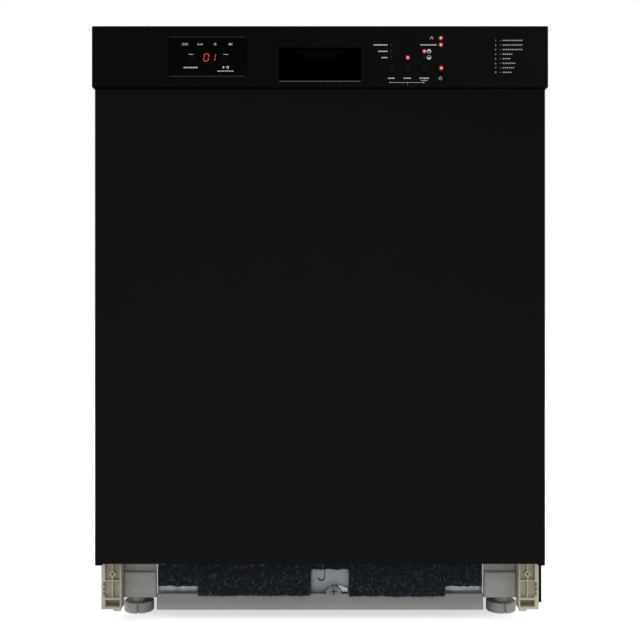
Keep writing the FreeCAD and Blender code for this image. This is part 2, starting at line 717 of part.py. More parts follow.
def front_foot(side):
    """A levelling foot: a slotted disc on a threaded stem."""
    pad = rod_z(side * FOOT_X, FOOT_D, 0, FOOT_HEIGHT, FOOT_RADIUS)
    pad = rounded(pad, FOOT_ROUND, lambda edge: edge.BoundBox.ZMax < FOOT_HEIGHT / 2)
    stem = rod_z(side * FOOT_X, FOOT_D, FOOT_HEIGHT, STEM_TOP, STEM_RADIUS)
    middle = side * FOOT_X + FOOT_SLOT_OFFSET
    slot = box(middle - FOOT_SLOT_WIDTH / 2, middle + FOOT_SLOT_WIDTH / 2, FOOT_D - FOOT_RADIUS,
               FOOT_D - FOOT_RADIUS + FOOT_SLOT_DEPTH, 0, FOOT_HEIGHT)
    return joined(pad, stem).cut(slot)


def rear_foot():
    """The wide foot under the rear, on the same stem."""
    pad = box(-REAR_FOOT_WIDTH / 2, REAR_FOOT_WIDTH / 2, REAR_FOOT_D - REAR_FOOT_LENGTH / 2,
              REAR_FOOT_D + REAR_FOOT_LENGTH / 2, 0, FOOT_HEIGHT)
    pad = rounded(pad, FOOT_ROUND, lambda edge: runs_along(edge, V(0, 0, 1)))
    return joined(pad, rod_z(0, REAR_FOOT_D, FOOT_HEIGHT, STEM_TOP, STEM_RADIUS))


# ---- Cabinet ----------------------------------------------------------------------------------------------
def tub_outline(shrink):
    """The tub's section seen from the front: a well between two ledges that carry the lower rack."""
    x = TUB_X - shrink
    well = TUB_X - LEDGE_WIDTH - shrink + TUB_SHEET
    top = TUB_TOP - shrink
    ledge = LIP_Z - TUB_SHEET + shrink
    floor = TUB_FLOOR - TUB_SHEET + shrink
    return [(-x, ledge), (-well, ledge), (-well, floor), (well, floor), (well, ledge), (x, ledge),
            (x, top), (-x, top)]


def tub():
    """The stainless tub, open to the front, with a low dam at its lip and an opening over the sump."""
    shell = front_profile(tub_outline(0), TUB_FRONT, TUB_REAR)
    shell = shell.cut(front_profile(tub_outline(TUB_SHEET), TUB_FRONT, TUB_BACK))
    well = TUB_X - LEDGE_WIDTH
    dam = box(-well, well, TUB_FRONT, TUB_FRONT + TUB_SHEET, TUB_FLOOR - TUB_SHEET, LIP_Z)
    shell = joined(shell, dam)
    hole = sump_hole()
    opening = box(-hole, hole, SUMP_FRONT + SUMP_WALL + SUMP_RIM, SUMP_BACK - SUMP_WALL - SUMP_RIM,
                  TUB_FLOOR - TUB_SHEET, TUB_FLOOR)
    return shell.cut(opening)


def sump_hole():
    """Half the width of the opening in the tub's floor."""
    return SUMP_WIDTH / 2 - SUMP_WALL - SUMP_RIM


def tub_front_frame():
    """The frame round the tub's mouth, with the strike that the latch catches."""
    wall = FRAME_SHEET
    ring = box(-FRAME_X, FRAME_X, FRAME_D, FRAME_BACK, FRAME_BOTTOM, FRAME_TOP)
    hollow = box(-FRAME_X + wall, FRAME_X - wall, FRAME_D + wall, FRAME_BACK, FRAME_BOTTOM + wall,
                 FRAME_TOP - wall)
    hollow = hollow.cut(front_profile(tub_outline(-SEAT - wall), FRAME_D, FRAME_BACK))
    ring = ring.cut([front_profile(tub_outline(-SEAT), FRAME_D, FRAME_BACK), hollow])
    z = strike_z()
    strike = box(-STRIKE_WIDTH / 2, STRIKE_WIDTH / 2, FRAME_D - STRIKE_REACH, FRAME_D, z, z + STRIKE_HEIGHT)
    return joined(ring, strike)


def strike_z():
    """The height of the strike's lower face."""
    return FASCIA_TOP - STRIKE_DROP - STRIKE_HEIGHT


def door_gasket():
    """The rubber seal up both sides and over the top of the tub's mouth."""
    x0 = TUB_X + SEAT + GASKET_INSET
    x1 = x0 + GASKET_WIDTH
    z0 = LIP_Z
    z1 = TUB_TOP + SEAT + GASKET_INSET
    outline = [(-x1, z0), (-x0, z0), (-x0, z1), (x0, z1), (x0, z0), (x1, z0),
               (x1, z1 + GASKET_WIDTH), (-x1, z1 + GASKET_WIDTH)]
    return front_profile(outline, DOOR_INNER + SEAT, FRAME_D)


def tub_insulation():
    """The blanket over the tub's top and sides."""
    x0 = TUB_X + SEAT
    x1 = x0 + BLANKET_THICKNESS
    z0 = TUB_TOP - BLANKET_DROP
    z1 = TUB_TOP + SEAT
    outline = [(-x1, z0), (-x0, z0), (-x0, z1), (x0, z1), (x0, z0), (x1, z0),
               (x1, z1 + BLANKET_THICKNESS), (-x1, z1 + BLANKET_THICKNESS)]
    return front_profile(outline, FRAME_BACK + SEAT, TUB_REAR)


def side_panel(side):
    """A side sheet, flanged over the frame at the top and over the tray at the bottom."""
    back = BODY_DEPTH - PANEL_SHEET
    web = side_box(side, BODY_X - PANEL_SHEET, BODY_X, FRAME_D, back, PANEL_BOTTOM - PANEL_SHEET,
                   FRAME_TOP + PANEL_SHEET)
    top = side_box(side, BODY_X - PANEL_FLANGE, BODY_X, FRAME_D, back, FRAME_TOP, FRAME_TOP + PANEL_SHEET)
    foot = side_box(side, BODY_X - PANEL_FLANGE, BODY_X, HINGE_D + BRACKET_LENGTH + PANEL_FOOT_GAP, back,
                    PANEL_BOTTOM - PANEL_SHEET, PANEL_BOTTOM)
    return joined(web, top, foot)


def rear_cover():
    """The sheet over the rear, above the connections."""
    return box(-BODY_X, BODY_X, BODY_DEPTH - PANEL_SHEET, BODY_DEPTH, PANEL_BOTTOM - PANEL_SHEET,
               FRAME_TOP + PANEL_SHEET)


def top_fixing_bracket(side):
    """A bent tab on the front of the frame, with a screw hole for the worktop."""
    x0 = TOP_TAB_X - TOP_TAB_WIDTH / 2
    x1 = x0 + TOP_TAB_WIDTH
    z1 = FRAME_TOP - TOP_TAB_DROP
    z0 = z1 - TOP_TAB_SHEET
    flat = side_box(side, x0, x1, TOP_TAB_FRONT, FRAME_D, z0, z1)
    flat = rounded(flat, CORNER_ROUND,
                   lambda edge: runs_along(edge, V(0, 0, 1)) and at_depth(edge, TOP_TAB_FRONT))
    upright = side_box(side, x0, x1, FRAME_D - TOP_TAB_SHEET, FRAME_D, z0, FRAME_TOP)
    hole = rod_z(side * TOP_TAB_X, TOP_TAB_FRONT + TOP_TAB_HOLE_INSET, z0, z1, TOP_TAB_HOLE)
    return joined(flat, upright).cut(hole)


# ---- Hinges -----------------------------------------------------------------------------------------------
def hinge_bracket(side):
    """The fixed hinge plate on the tray's side, with its pin riveted in."""
    x0 = BRACKET_X
    x1 = BRACKET_X + BRACKET_THICKNESS
    rear = HINGE_D + BRACKET_LENGTH
    neck = FRAME_D + SWING_CLEARANCE
    ends = sorted((side * x0, side * x1))
    outline = [(HINGE_D, HINGE_Z - EYE_RADIUS), (HINGE_D, HINGE_Z + EYE_RADIUS), (neck, HINGE_Z + EYE_RADIUS),
               (neck + EYE_RADIUS, HINGE_Z + BRACKET_RISE), (rear, HINGE_Z + BRACKET_RISE),
               (rear, HINGE_Z - BRACKET_DROP), (neck + EYE_RADIUS, HINGE_Z - BRACKET_DROP),
               (neck, HINGE_Z - EYE_RADIUS)]
    plate = side_profile(outline, ends[0], ends[1])
    eye = side_rod_x(side, x0, x1, HINGE_D, HINGE_Z, EYE_RADIUS)
    pin = side_rod_x(side, ARM_X - SEAT, x1, HINGE_D, HINGE_Z, PIN_RADIUS)
    head = side_rod_x(side, ARM_X - SEAT - PIN_HEAD_THICKNESS, ARM_X - SEAT, HINGE_D, HINGE_Z, PIN_HEAD)
    return joined(plate, eye, pin, head)


def hinge_arm(side):
    """The door's hinge arm: an eye on the pin, a tail for the spring, and a strip up the side of the door."""
    ends = sorted((side * ARM_X, side * (ARM_X + ARM_THICKNESS)))
    back = DOOR_INNER - ARM_INSET
    front = back - ARM_WIDTH
    top = HINGE_Z + ARM_HEIGHT
    tail = HINGE_D + TAIL_REACH + TAIL_PIN * 2
    outline = [(HINGE_D, HINGE_Z - EYE_RADIUS), (tail, HINGE_Z), (back, HINGE_Z + EYE_RADIUS), (back, top),
               (front, top), (front, HINGE_Z + 2 * EYE_RADIUS), (HINGE_D, HINGE_Z + EYE_RADIUS)]
    plate = side_profile(outline, ends[0], ends[1])
    eye = side_rod_x(side, ARM_X, ARM_X + ARM_THICKNESS, HINGE_D, HINGE_Z, EYE_RADIUS)
    hook = side_rod_x(side, ARM_X - TAIL_PIN_LENGTH, ARM_X, HINGE_D + TAIL_REACH, HINGE_Z + TAIL_RISE,
                      TAIL_PIN)
    bore = side_rod_x(side, ARM_X - SEAT, ARM_X + ARM_THICKNESS, HINGE_D, HINGE_Z, PIN_RADIUS + RUN)
    return joined(plate, eye, hook).cut(bore)


def door_spring(side):
    """A close-wound tension spring, from the tail of the hinge arm to an anchor behind."""
    x = side * (ARM_X - TAIL_PIN_LENGTH / 2)
    z = HINGE_Z + TAIL_RISE
    pin_d = HINGE_D + TAIL_REACH
    pitch = 2 * SPRING_WIRE
    start = SPRING_START
    turns = round(SPRING_LENGTH / pitch)
    end = start + turns * pitch
    middle = SPRING_RADIUS - SPRING_WIRE
    edges = [Part.LineSegment(V(x, FRONT + start, z), V(x, FRONT + start, z + middle)).toShape()]
    for turn in range(turns):
        near = FRONT + start + turn * pitch
        crest = V(x, near + SPRING_WIRE, z + SPRING_RADIUS)
        edges.append(Part.Arc(V(x, near, z + middle), crest, V(x, near + pitch, z + middle)).toShape())
    edges.append(Part.LineSegment(V(x, FRONT + end, z + middle), V(x, FRONT + end, z)).toShape())
    edges.append(Part.LineSegment(V(x, FRONT + end, z), V(x, FRONT + start, z)).toShape())
    coil = Part.Face(Part.Wire(edges)).revolve(V(x, FRONT, z), V(0, 1, 0), 360)
    eye_outer = TAIL_PIN + SEAT + 2 * SPRING_WIRE
    half = SPRING_WIRE
    eye = rod_x(x - half, x + half, pin_d, z, eye_outer)
    eye = eye.cut(rod_x(x - half, x + half, pin_d, z, TAIL_PIN + SEAT))
    wire = rod_d(x, pin_d + eye_outer - SPRING_WIRE, start, z, SPRING_WIRE)
    anchor = box(x - 2 * half, x + 2 * half, end, end + EYE_RADIUS, TRAY_TOP - EYE_RADIUS, z + half)
    return joined(coil, eye, wire, anchor)


# ---- Wet parts --------------------------------------------------------------------------------------------
def sump():
    """The open box under the tub's floor."""
    half = SUMP_WIDTH / 2
    top = TUB_FLOOR - TUB_SHEET
    outer = box(-half, half, SUMP_FRONT, SUMP_BACK, SUMP_BOTTOM, top)
    outer = rounded(outer, CORNER_ROUND, lambda edge: runs_along(edge, V(0, 0, 1)))
    inner = box(-half + SUMP_WALL, half - SUMP_WALL, SUMP_FRONT + SUMP_WALL, SUMP_BACK - SUMP_WALL,
                SUMP_BOTTOM + SUMP_WALL, top)
    return outer.cut(inner)


def filter_plate():
    """The flat filter over the sump, with holes for the filter cylinder and the spray hub."""
    half = sump_hole() + FILTER_PLATE_LAP
    rim = SUMP_WALL + SUMP_RIM - FILTER_PLATE_LAP
    plate = box(-half, half, SUMP_FRONT + rim, SUMP_BACK - rim, TUB_FLOOR, FILTER_TOP)
    return plate.cut([rod_z(0, FILTER_D, TUB_FLOOR, FILTER_TOP, FILTER_RADIUS + SEAT),
                      rod_z(0, HUB_D, TUB_FLOOR, FILTER_TOP, HUB_RADIUS + SEAT)])


def filter_cylinder():
    """The filter that turns out of the sump: a thin tube under a cap with a grip."""
    cap_z = FILTER_TOP + SEAT
    tube = rod_z(0, FILTER_D, cap_z - FILTER_DEPTH, cap_z, FILTER_RADIUS)
    tube = tube.cut(rod_z(0, FILTER_D, cap_z - FILTER_DEPTH, cap_z, FILTER_RADIUS - FILTER_WALL))
    cap = rod_z(0, FILTER_D, cap_z, cap_z + FILTER_CAP_HEIGHT, FILTER_CAP)
    reach = FILTER_RADIUS - FILTER_WALL
    grip = box(-reach, reach, FILTER_D - FILTER_WALL, FILTER_D + FILTER_WALL, cap_z + FILTER_CAP_HEIGHT,
               cap_z + FILTER_CAP_HEIGHT + FILTER_GRIP)
    return joined(tube, cap, grip)


def feed_tube():
    """The water path: hub for the lower arm, duct along the floor, riser, dock for the rack, top spray."""
    hub = rod_z(0, HUB_D, SUMP_BOTTOM + SUMP_WALL, SPRAY_Z + ARM_HUB_HEIGHT + SEAT, HUB_RADIUS)
    collar = rod_z(0, HUB_D, COLLAR_Z, COLLAR_Z + HUB_COLLAR_HEIGHT, HUB_COLLAR)
    half = DUCT_WIDTH / 2
    duct = box(-half, half, HUB_D, RISER_D, DUCT_Z, DUCT_Z + DUCT_HEIGHT)
    riser = rod_z(0, RISER_D, DUCT_Z, TOP_RUN_Z + TOP_RUN_RADIUS, RISER_RADIUS)
    dock = rod_d(0, RISER_D - RISER_RADIUS - DOCK_REACH, RISER_D, DOCK_Z, DOCK_RADIUS)
    run = rod_d(0, HUB_D, RISER_D, TOP_RUN_Z, TOP_RUN_RADIUS)
    elbow = rod_z(0, HUB_D, TOP_RUN_Z - TOP_RUN_RADIUS, TUB_CEILING - SEAT, CLIP_RADIUS)
    nozzle_top = TOP_RUN_Z - TOP_RUN_RADIUS + EDGE_ROUND
    nozzle = Part.makeCone(TOP_NOZZLE_RADIUS, TOP_RUN_RADIUS, TOP_NOZZLE_HEIGHT,
                           V(0, FRONT + HUB_D, nozzle_top - TOP_NOZZLE_HEIGHT), V(0, 0, 1))
    whole = joined(hub, collar, duct, riser, dock, run, elbow, nozzle)
    bore = rod_z(0, HUB_D, SUMP_BOTTOM + SUMP_WALL, SPRAY_Z, HUB_BORE)
    return whole.cut(bore)


def spray_arm(z, socket_radius, flip):
    """A spray arm: two tapered wings on a round hub. Flipped, the wings sit at the top of the hub."""
    wing_z = z + (ARM_HUB_HEIGHT - SPRAY_THICKNESS if flip else SLIDE)
    wings = hull_arm(0, HUB_D, wing_z, wing_z + SPRAY_THICKNESS, SPRAY_LENGTH, SPRAY_ROOT, SPRAY_TIP)
    wings = rounded(wings, SPRAY_ROUND, lambda edge: abs(edge.BoundBox.ZLength) < TOUCH)
    hub = rod_z(0, HUB_D, z, z + ARM_HUB_HEIGHT, ARM_HUB_RADIUS)
    return joined(wings, hub).cut(rod_z(0, HUB_D, z, z + ARM_HUB_HEIGHT, socket_radius))


def heater():
    """The ring heater on the tub's floor, with its terminal block."""
    z = TUB_FLOOR + SEAT + HEATER_TUBE
    ring = Part.makeTorus(HEATER_RING, HEATER_TUBE, V(0, FRONT + HEATER_D, z), V(0, 0, 1))
    front = HEATER_D - HEATER_RING
    half = HEATER_BLOCK / 2
    block = box(-half, half, front - HEATER_TUBE, front + HEATER_TUBE, z - HEATER_TUBE, z + 2 * HEATER_TUBE)
    return joined(ring, block)


def circulation_pump():
    """The pump at the left of the sump."""
    wall = -SUMP_WIDTH / 2
    start = wall - PUMP_STUB - PUMP_LENGTH
    body = rod_x(start, wall - PUMP_STUB, PUMP_D, PUMP_Z, PUMP_RADIUS)
    body = rounded(body, CORNER_ROUND, lambda edge: edge.BoundBox.XLength < TOUCH)
    return joined(body, rod_x(wall - PUMP_STUB - CORNER_ROUND, wall, PUMP_D, PUMP_Z, PUMP_STUB_RADIUS))


def drain_x():
    """Where the drain leaves the rear, to the right of the sump."""
    return SUMP_WIDTH / 2 + DRAIN_LENGTH / 2


def drain_pump():
    """The drain pump at the right of the sump, its pipe, and the hose spigot at the rear."""
    wall = SUMP_WIDTH / 2
    body = rod_x(wall, wall + DRAIN_LENGTH, DRAIN_D, DRAIN_Z, DRAIN_RADIUS)
    pipe = rod_d(drain_x(), DRAIN_D, TRAY_REAR + REAR_REACH, DRAIN_Z, DRAIN_SPIGOT)
    bead = rod_d(drain_x(), TRAY_REAR + BEAD_REACH, TRAY_REAR + BEAD_REACH + BEAD_WIDTH, DRAIN_Z,
                 DRAIN_SPIGOT + EDGE_ROUND)
    bore = rod_d(drain_x(), DRAIN_D + DRAIN_RADIUS, TRAY_REAR + REAR_REACH, DRAIN_Z, DRAIN_BORE)
    return joined(body, pipe, bead).cut(bore)


def inlet_valve():
    """The water valve, with its threaded spigot through the rear of the tray."""
    back = TRAY_REAR - TRAY_WALL - SEAT
    half = INLET_BODY / 2
    body = box(INLET_X - half, INLET_X + half, back - INLET_LENGTH, back, TRAY_BOTTOM + TRAY_WALL,
               INLET_Z + half)
    neck = rod_d(INLET_X, back, TRAY_REAR + SEAT, INLET_Z, INLET_NECK)
    spigot = rod_d(INLET_X, TRAY_REAR + SEAT, TRAY_REAR + REAR_REACH, INLET_Z, INLET_RADIUS)
    bore = rod_d(INLET_X, back, TRAY_REAR + REAR_REACH, INLET_Z, INLET_BORE)
    return joined(body, neck, spigot).cut(bore)


def terminal_box():
    """The box where the mains lead is joined, with a gland at the rear."""
    back = TRAY_REAR - TRAY_WALL - SEAT
    half = TERMINAL_WIDTH / 2
    body = box(TERMINAL_X - half, TERMINAL_X + half, back - TERMINAL_LENGTH, back,
               TRAY_BOTTOM + TRAY_WALL, TERMINAL_Z + TERMINAL_HEIGHT / 2)
    gland = rod_d(TERMINAL_X, back, TRAY_REAR + GLAND_LENGTH, TERMINAL_Z, GLAND_RADIUS)
    bore = rod_d(TERMINAL_X, back, TRAY_REAR + GLAND_LENGTH, TERMINAL_Z, GLAND_BORE)
    return joined(body, gland).cut(bore)


# ---- Racks ------------------------------------------------------------------------------------------------
def spaced(start, end, pitch):
    """Even places from start to end, no further apart than the pitch."""
    count = max(1, math.ceil((end - start) / pitch))
    return [start + (end - start) * step / count for step in range(count + 1)]


def wire_loop(half, front, rear, z):
    """A flat rectangular loop of square wire."""
    return box(-half, half, front, rear, z, z + WIRE).cut(
        box(-half + WIRE, half - WIRE, front + WIRE, rear - WIRE, z, z + WIRE))


def rack(half, front, rear, floor, rim, slope, pitch_x, pitch_d):
    """A wire rack: two loops, floor wires both ways and upright wires on all four sides."""
    pieces = [wire_loop(half, front, rear, rim - WIRE),
              wire_loop(half, front + slope, rear, floor)]
    for x in spaced(-half, half - WIRE, pitch_x):
        pieces.append(box(x, x + WIRE, front + slope, rear, floor, floor + WIRE))
        pieces.append(box(x, x + WIRE, rear - WIRE, rear, floor, rim))
        slant = [(front + slope, floor), (front + slope + WIRE, floor), (front + WIRE, rim), (front, rim)]
        pieces.append(side_profile(slant, x, x + WIRE))
    for d in spaced(front + slope, rear - WIRE, pitch_d):
        pieces.append(box(-half, half, d, d + WIRE, floor, floor + WIRE))
        for side in (-1, 1):
            pieces.append(side_box(side, half - WIRE, half, d, d + WIRE, floor, rim))
    return joined(*pieces)


def lower_rack():
    """The lower rack, with plate tines and a hanger and axle for each wheel."""
    frame = rack(LOWER_X, LOWER_FRONT, LOWER_REAR, LOWER_FLOOR, LOWER_RIM, LOWER_SLOPE,
                 LOWER_PITCH_X, LOWER_PITCH_D)
    extras = []
    for x in TINE_ROWS:
        start = LOWER_FRONT + LOWER_SLOPE + TINE_PITCH
        for d in spaced(start, LOWER_REAR - TINE_PITCH, TINE_PITCH):
            extras.append(box(x, x + WIRE, d, d + WIRE, LOWER_FLOOR, LOWER_FLOOR + TINE_HEIGHT))
        extras.append(box(x, x + WIRE, LOWER_FRONT + LOWER_SLOPE, LOWER_REAR, LOWER_FLOOR - WIRE_STEP,
                          LOWER_FLOOR + WIRE - WIRE_STEP))
    for d in (FRONT_WHEEL_D, REAR_WHEEL_D):
        for side in (-1, 1):
            near = WHEEL_X - SEAT - HANGER
            far = WHEEL_X + WHEEL_WIDTH + SEAT
            extras.append(side_box(side, near, WHEEL_X - SEAT, d - HANGER_WIDTH / 2, d + HANGER_WIDTH / 2,
                                   WHEEL_Z - AXLE_RADIUS - HANGER_MARGIN, LOWER_FLOOR + WIRE))
            extras.append(side_rod_x(side, near, far, d, WHEEL_Z, AXLE_RADIUS))
            extras.append(side_rod_x(side, far, far + AXLE_CAP_WIDTH, d, WHEEL_Z, AXLE_CAP))
            for edge in (-1, 1):
                bar = d + edge * (HANGER_WIDTH - WIRE) / 2
                extras.append(side_box(side, LOWER_X - LOWER_PITCH_X, LOWER_X - WIRE_STEP, bar - WIRE / 2,
                                       bar + WIRE / 2, LOWER_FLOOR - WIRE_STEP,
                                       LOWER_FLOOR + WIRE - WIRE_STEP))
    return joined(frame, *extras)


def wheel(side, d):
    """One wheel of the lower rack, on its axle."""
    tyre = side_rod_x(side, WHEEL_X, WHEEL_X + WHEEL_WIDTH, d, WHEEL_Z, WHEEL_RADIUS)
    tyre = rounded(tyre, EDGE_ROUND, lambda edge: edge.BoundBox.XLength < TOUCH)
    spokes = []
    for turn in range(WHEEL_HOLES):
        angle = 2 * math.pi * turn / WHEEL_HOLES
        reach = (WHEEL_RADIUS + AXLE_RADIUS) / 2
        spokes.append(side_rod_x(side, WHEEL_X, WHEEL_X + WHEEL_WIDTH, d + reach * math.cos(angle),
                                 WHEEL_Z + reach * math.sin(angle), AXLE_RADIUS / 2))
    bore = side_rod_x(side, WHEEL_X, WHEEL_X + WHEEL_WIDTH, d, WHEEL_Z, AXLE_RADIUS + RUN)
    return tyre.cut(spokes + [bore])


def cutlery_basket():
    """The basket that stands in the lower rack."""
    z = LOWER_FLOOR + WIRE + SEAT
    basket = box(BASKET_LEFT, BASKET_RIGHT, BASKET_FRONT, BASKET_BACK, z, z + BASKET_HEIGHT)
    middle = (BASKET_LEFT + BASKET_RIGHT) / 2
    cells = []
    for x0, x1 in ((BASKET_LEFT, middle), (middle, BASKET_RIGHT)):
        cells.append(box(x0 + BASKET_WALL, x1 - BASKET_WALL, BASKET_FRONT + BASKET_WALL,
                         BASKET_BACK - BASKET_WALL, z + BASKET_WALL, z + BASKET_HEIGHT))
    return basket.cut(cells)


def upper_rack():
    """The upper rack, with the runner plates on its sides."""
    frame = rack(UPPER_X, UPPER_FRONT, UPPER_REAR, UPPER_FLOOR, UPPER_RIM, UPPER_SLOPE,
                 UPPER_PITCH_X, UPPER_PITCH_D)
    runners = [side_box(side, UPPER_X, UPPER_X + RUNNER_THICKNESS, RAIL_LENGTH_START, UPPER_REAR,
                        RUNNER_BOTTOM, RUNNER_BOTTOM + RUNNER_HEIGHT) for side in (-1, 1)]
    return joined(frame, *runners)


def middle_rail(side):
    """The sliding middle rail between the rack's runner and the fixed channel."""
    inner = UPPER_X + RUNNER_THICKNESS + SLIDE
    outer = TUB_IN - CHANNEL_SHEET - SLIDE
    lip = CHANNEL_SHEET + SLIDE
    return side_box(side, inner, outer, RAIL_LENGTH_START, RAIL_LENGTH_END, CHANNEL_Z + lip,
                    CHANNEL_Z + CHANNEL_HEIGHT - lip)


def fixed_rail(side):
    """The channel on the tub's side wall."""
    block = side_box(side, TUB_IN - CHANNEL_DEPTH, TUB_IN, RAIL_LENGTH_START, RAIL_LENGTH_END,
                     CHANNEL_Z, CHANNEL_Z + CHANNEL_HEIGHT)
    hollow = side_box(side, TUB_IN - CHANNEL_DEPTH, TUB_IN - CHANNEL_SHEET, RAIL_LENGTH_START,
                      RAIL_LENGTH_END, CHANNEL_Z + CHANNEL_SHEET, CHANNEL_Z + CHANNEL_HEIGHT - CHANNEL_SHEET)
    return block.cut(hollow)


def rack_manifold():
    """The tube under the upper rack, from the dock at the rear to the upper arm's spigot."""
    dock = RISER_D - RISER_RADIUS - DOCK_REACH - SEAT
    tube = rod_d(0, HUB_D, dock, DOCK_Z, MANIFOLD_RADIUS)
    hanger = box(-MANIFOLD_RADIUS, MANIFOLD_RADIUS, HUB_D, HUB_D + 2 * HUB_RADIUS, DOCK_Z, UPPER_FLOOR - SEAT)
    low = upper_arm_z() - SEAT - HUB_COLLAR_HEIGHT
    spigot = rod_z(0, HUB_D, low, DOCK_Z, HUB_RADIUS)
    stop = rod_z(0, HUB_D, low, low + HUB_COLLAR_HEIGHT, HUB_COLLAR)
    return joined(tube, hanger, spigot, stop)


def upper_arm_z():
    """The underside of the upper spray arm's hub."""
    return DOCK_Z - MANIFOLD_RADIUS - UPPER_ARM_DROP - ARM_HUB_HEIGHT


# ---- Door -------------------------------------------------------------------------------------------------
def door_corner(edge):
    """True for the two lower corners of the door's skin."""
    low = edge.BoundBox.ZMax < DOOR_BOTTOM + TOUCH
    return runs_along(edge, V(0, 1, 0)) and low and abs(edge.BoundBox.XMin) > DOOR_X - TOUCH


def door_block(wall):
    """The door skin's outline, shrunk by a wall: its ends reach a little lower than its middle."""
    back = DOOR_SETBACK + DOOR_FLANGE
    front = DOOR_SETBACK + wall
    half = DOOR_X - DOOR_EAR + wall
    block = box(-DOOR_X + wall, DOOR_X - wall, front, back, DOOR_BOTTOM + wall, DOOR_TOP - wall)
    return block.cut(box(-half, half, front, back, DOOR_BOTTOM, DOOR_BOTTOM + DOOR_EAR_DROP + wall))


def door_outer_panel():
    """The flanged steel skin, with a slot in the bottom flange for each hinge plate."""
    skin = rounded(door_block(0), FRONT_CORNER_ROUND, door_corner)
    skin = rounded(skin, DOOR_EDGE_ROUND, lambda edge: at_depth(edge, DOOR_SETBACK))
    skin = skin.cut(door_block(DOOR_SHEET))
    front = HINGE_D - EYE_RADIUS - DOOR_FLANGE_SLOT
    top = DOOR_BOTTOM + DOOR_EAR_DROP + DOOR_SHEET
    slots = []
    for side in (-1, 1):
        slots.append(side_box(side, ARM_X - NOTCH_WIDTH, BRACKET_X + BRACKET_THICKNESS + DOOR_FLANGE_SLOT,
                              front, DOOR_SETBACK + DOOR_FLANGE, DOOR_BOTTOM, top))
    return skin.cut(slots)


def door_inner_panel():
    """The stainless liner, with its lower corners cut back for the hinges."""
    front = DOOR_INNER - INNER_DOOR_DEPTH
    liner = box(-INNER_X, INNER_X, front, DOOR_INNER, INNER_BOTTOM, INNER_TOP)
    inside = box(-INNER_X + DOOR_SHEET, INNER_X - DOOR_SHEET, front, DOOR_INNER - DOOR_SHEET,
                 INNER_BOTTOM + DOOR_SHEET, INNER_TOP - DOOR_SHEET)
    cuts = [inside]
    for side in (-1, 1):
        cuts.append(side_box(side, INNER_X - NOTCH_WIDTH, INNER_X, front, DOOR_INNER, INNER_BOTTOM,
                             INNER_BOTTOM + NOTCH_RISE + HINGE_RISE))
    cuts.append(strike_opening(DOOR_INNER - DOOR_SHEET, DOOR_INNER))
    cuts.append(box(DISPENSER_X0, DISPENSER_X1, DOOR_INNER - DOOR_SHEET, DOOR_INNER, DISPENSER_Z0,
                    DISPENSER_Z1))
    return liner.cut(cuts)


def strike_opening(d0, d1):
    """The hole that the strike passes through."""
    half = STRIKE_WIDTH / 2 + STRIKE_CLEARANCE
    z = strike_z()
    return box(-half, half, d0, d1, z - STRIKE_CLEARANCE, z + STRIKE_HEIGHT + STRIKE_CLEARANCE)


def door_insulation():
    """The mat between the skins, cut away round the dispenser."""
    front = DOOR_SETBACK + DOOR_SHEET + SEAT
    back = DOOR_INNER - DOOR_SHEET - SEAT
    half = INNER_X - DOOR_SHEET - SEAT
    low = INNER_BOTTOM + NOTCH_RISE + HINGE_RISE + SEAT
    mat = box(-half, half, front, back, low, DOOR_TOP - FASCIA_GAP - DOOR_SHEET)
    gap = FASCIA_GAP
    space = box(DISPENSER_X0 - gap, DISPENSER_X1 + gap, DOOR_INNER - DISPENSER_DEPTH - gap, back,
                DISPENSER_Z0 - gap, DISPENSER_Z1 + gap)
    return mat.cut(space)


def lens_places():
    """Each indicator lens as (x, height)."""
    return [(x, FASCIA_TOP - drop) for x, drop in LENSES]


def pocket_opening(d0, d1, grow):
    """The handle pocket's space, grown on all sides."""
    half = POCKET_WIDTH / 2 + grow
    top = FASCIA_TOP - POCKET_DROP + grow
    return box(-half, half, d0, d1, top - POCKET_HEIGHT - 2 * grow, top)


def control_panel():
    """The fascia: a shell with openings for the window, the buttons, the lenses and the handle pocket."""
    shell = box(-FASCIA_X, FASCIA_X, 0, FASCIA_DEPTH, FASCIA_BOTTOM, FASCIA_TOP)
    shell = rounded(shell, FRONT_CORNER_ROUND, lambda edge: runs_along(edge, V(0, 1, 0)))
    shell = rounded(shell, EDGE_ROUND, lambda edge: at_depth(edge, 0))
    hollow = box(-FASCIA_X + FASCIA_WALL, FASCIA_X - FASCIA_WALL, FASCIA_WALL, FASCIA_DEPTH,
                 FASCIA_BOTTOM + FASCIA_WALL, FASCIA_TOP - FASCIA_WALL)
    cuts = [hollow, window_block(0, FASCIA_WALL, 0), pocket_opening(0, FASCIA_WALL, 0)]
    for x in PANEL_BUTTONS:
        cuts.append(rod_d(x, 0, FASCIA_WALL, FASCIA_TOP - PANEL_BUTTON_DROP, PANEL_BUTTON_RADIUS + SEAT))
    for x, z in lens_places():
        cuts.append(rod_d(x, 0, FASCIA_WALL, z, LENS_RADIUS + RUN))
    surround = pocket_opening(0, SURROUND_DEPTH, SURROUND)
    cuts.append(surround.cut(pocket_opening(0, SURROUND_DEPTH, SURROUND - SURROUND_LINE)))
    return shell.cut(cuts)


def window_block(d0, d1, grow):
    """The display window's space, grown on all sides."""
    top = FASCIA_TOP - WINDOW_DROP
    return box(WINDOW_X0 - grow, WINDOW_X1 + grow, d0, d1, top - WINDOW_HEIGHT - grow, top + grow)


def display_window():
    """The dark clear window: it lies sunk in the fascia and laps behind it."""
    face = window_block(WINDOW_SINK, FASCIA_WALL, -SEAT)
    lap = window_block(FASCIA_WALL, FASCIA_WALL + WINDOW_THICKNESS, WINDOW_LAP)
    window = joined(face, lap)
    holes = [rod_d(x, WINDOW_SINK, FASCIA_WALL + WINDOW_THICKNESS, FASCIA_TOP - DISPLAY_BUTTON_DROP,
                   DISPLAY_BUTTON_RADIUS + SEAT) for x in DISPLAY_BUTTONS]
    return window.cut(holes)


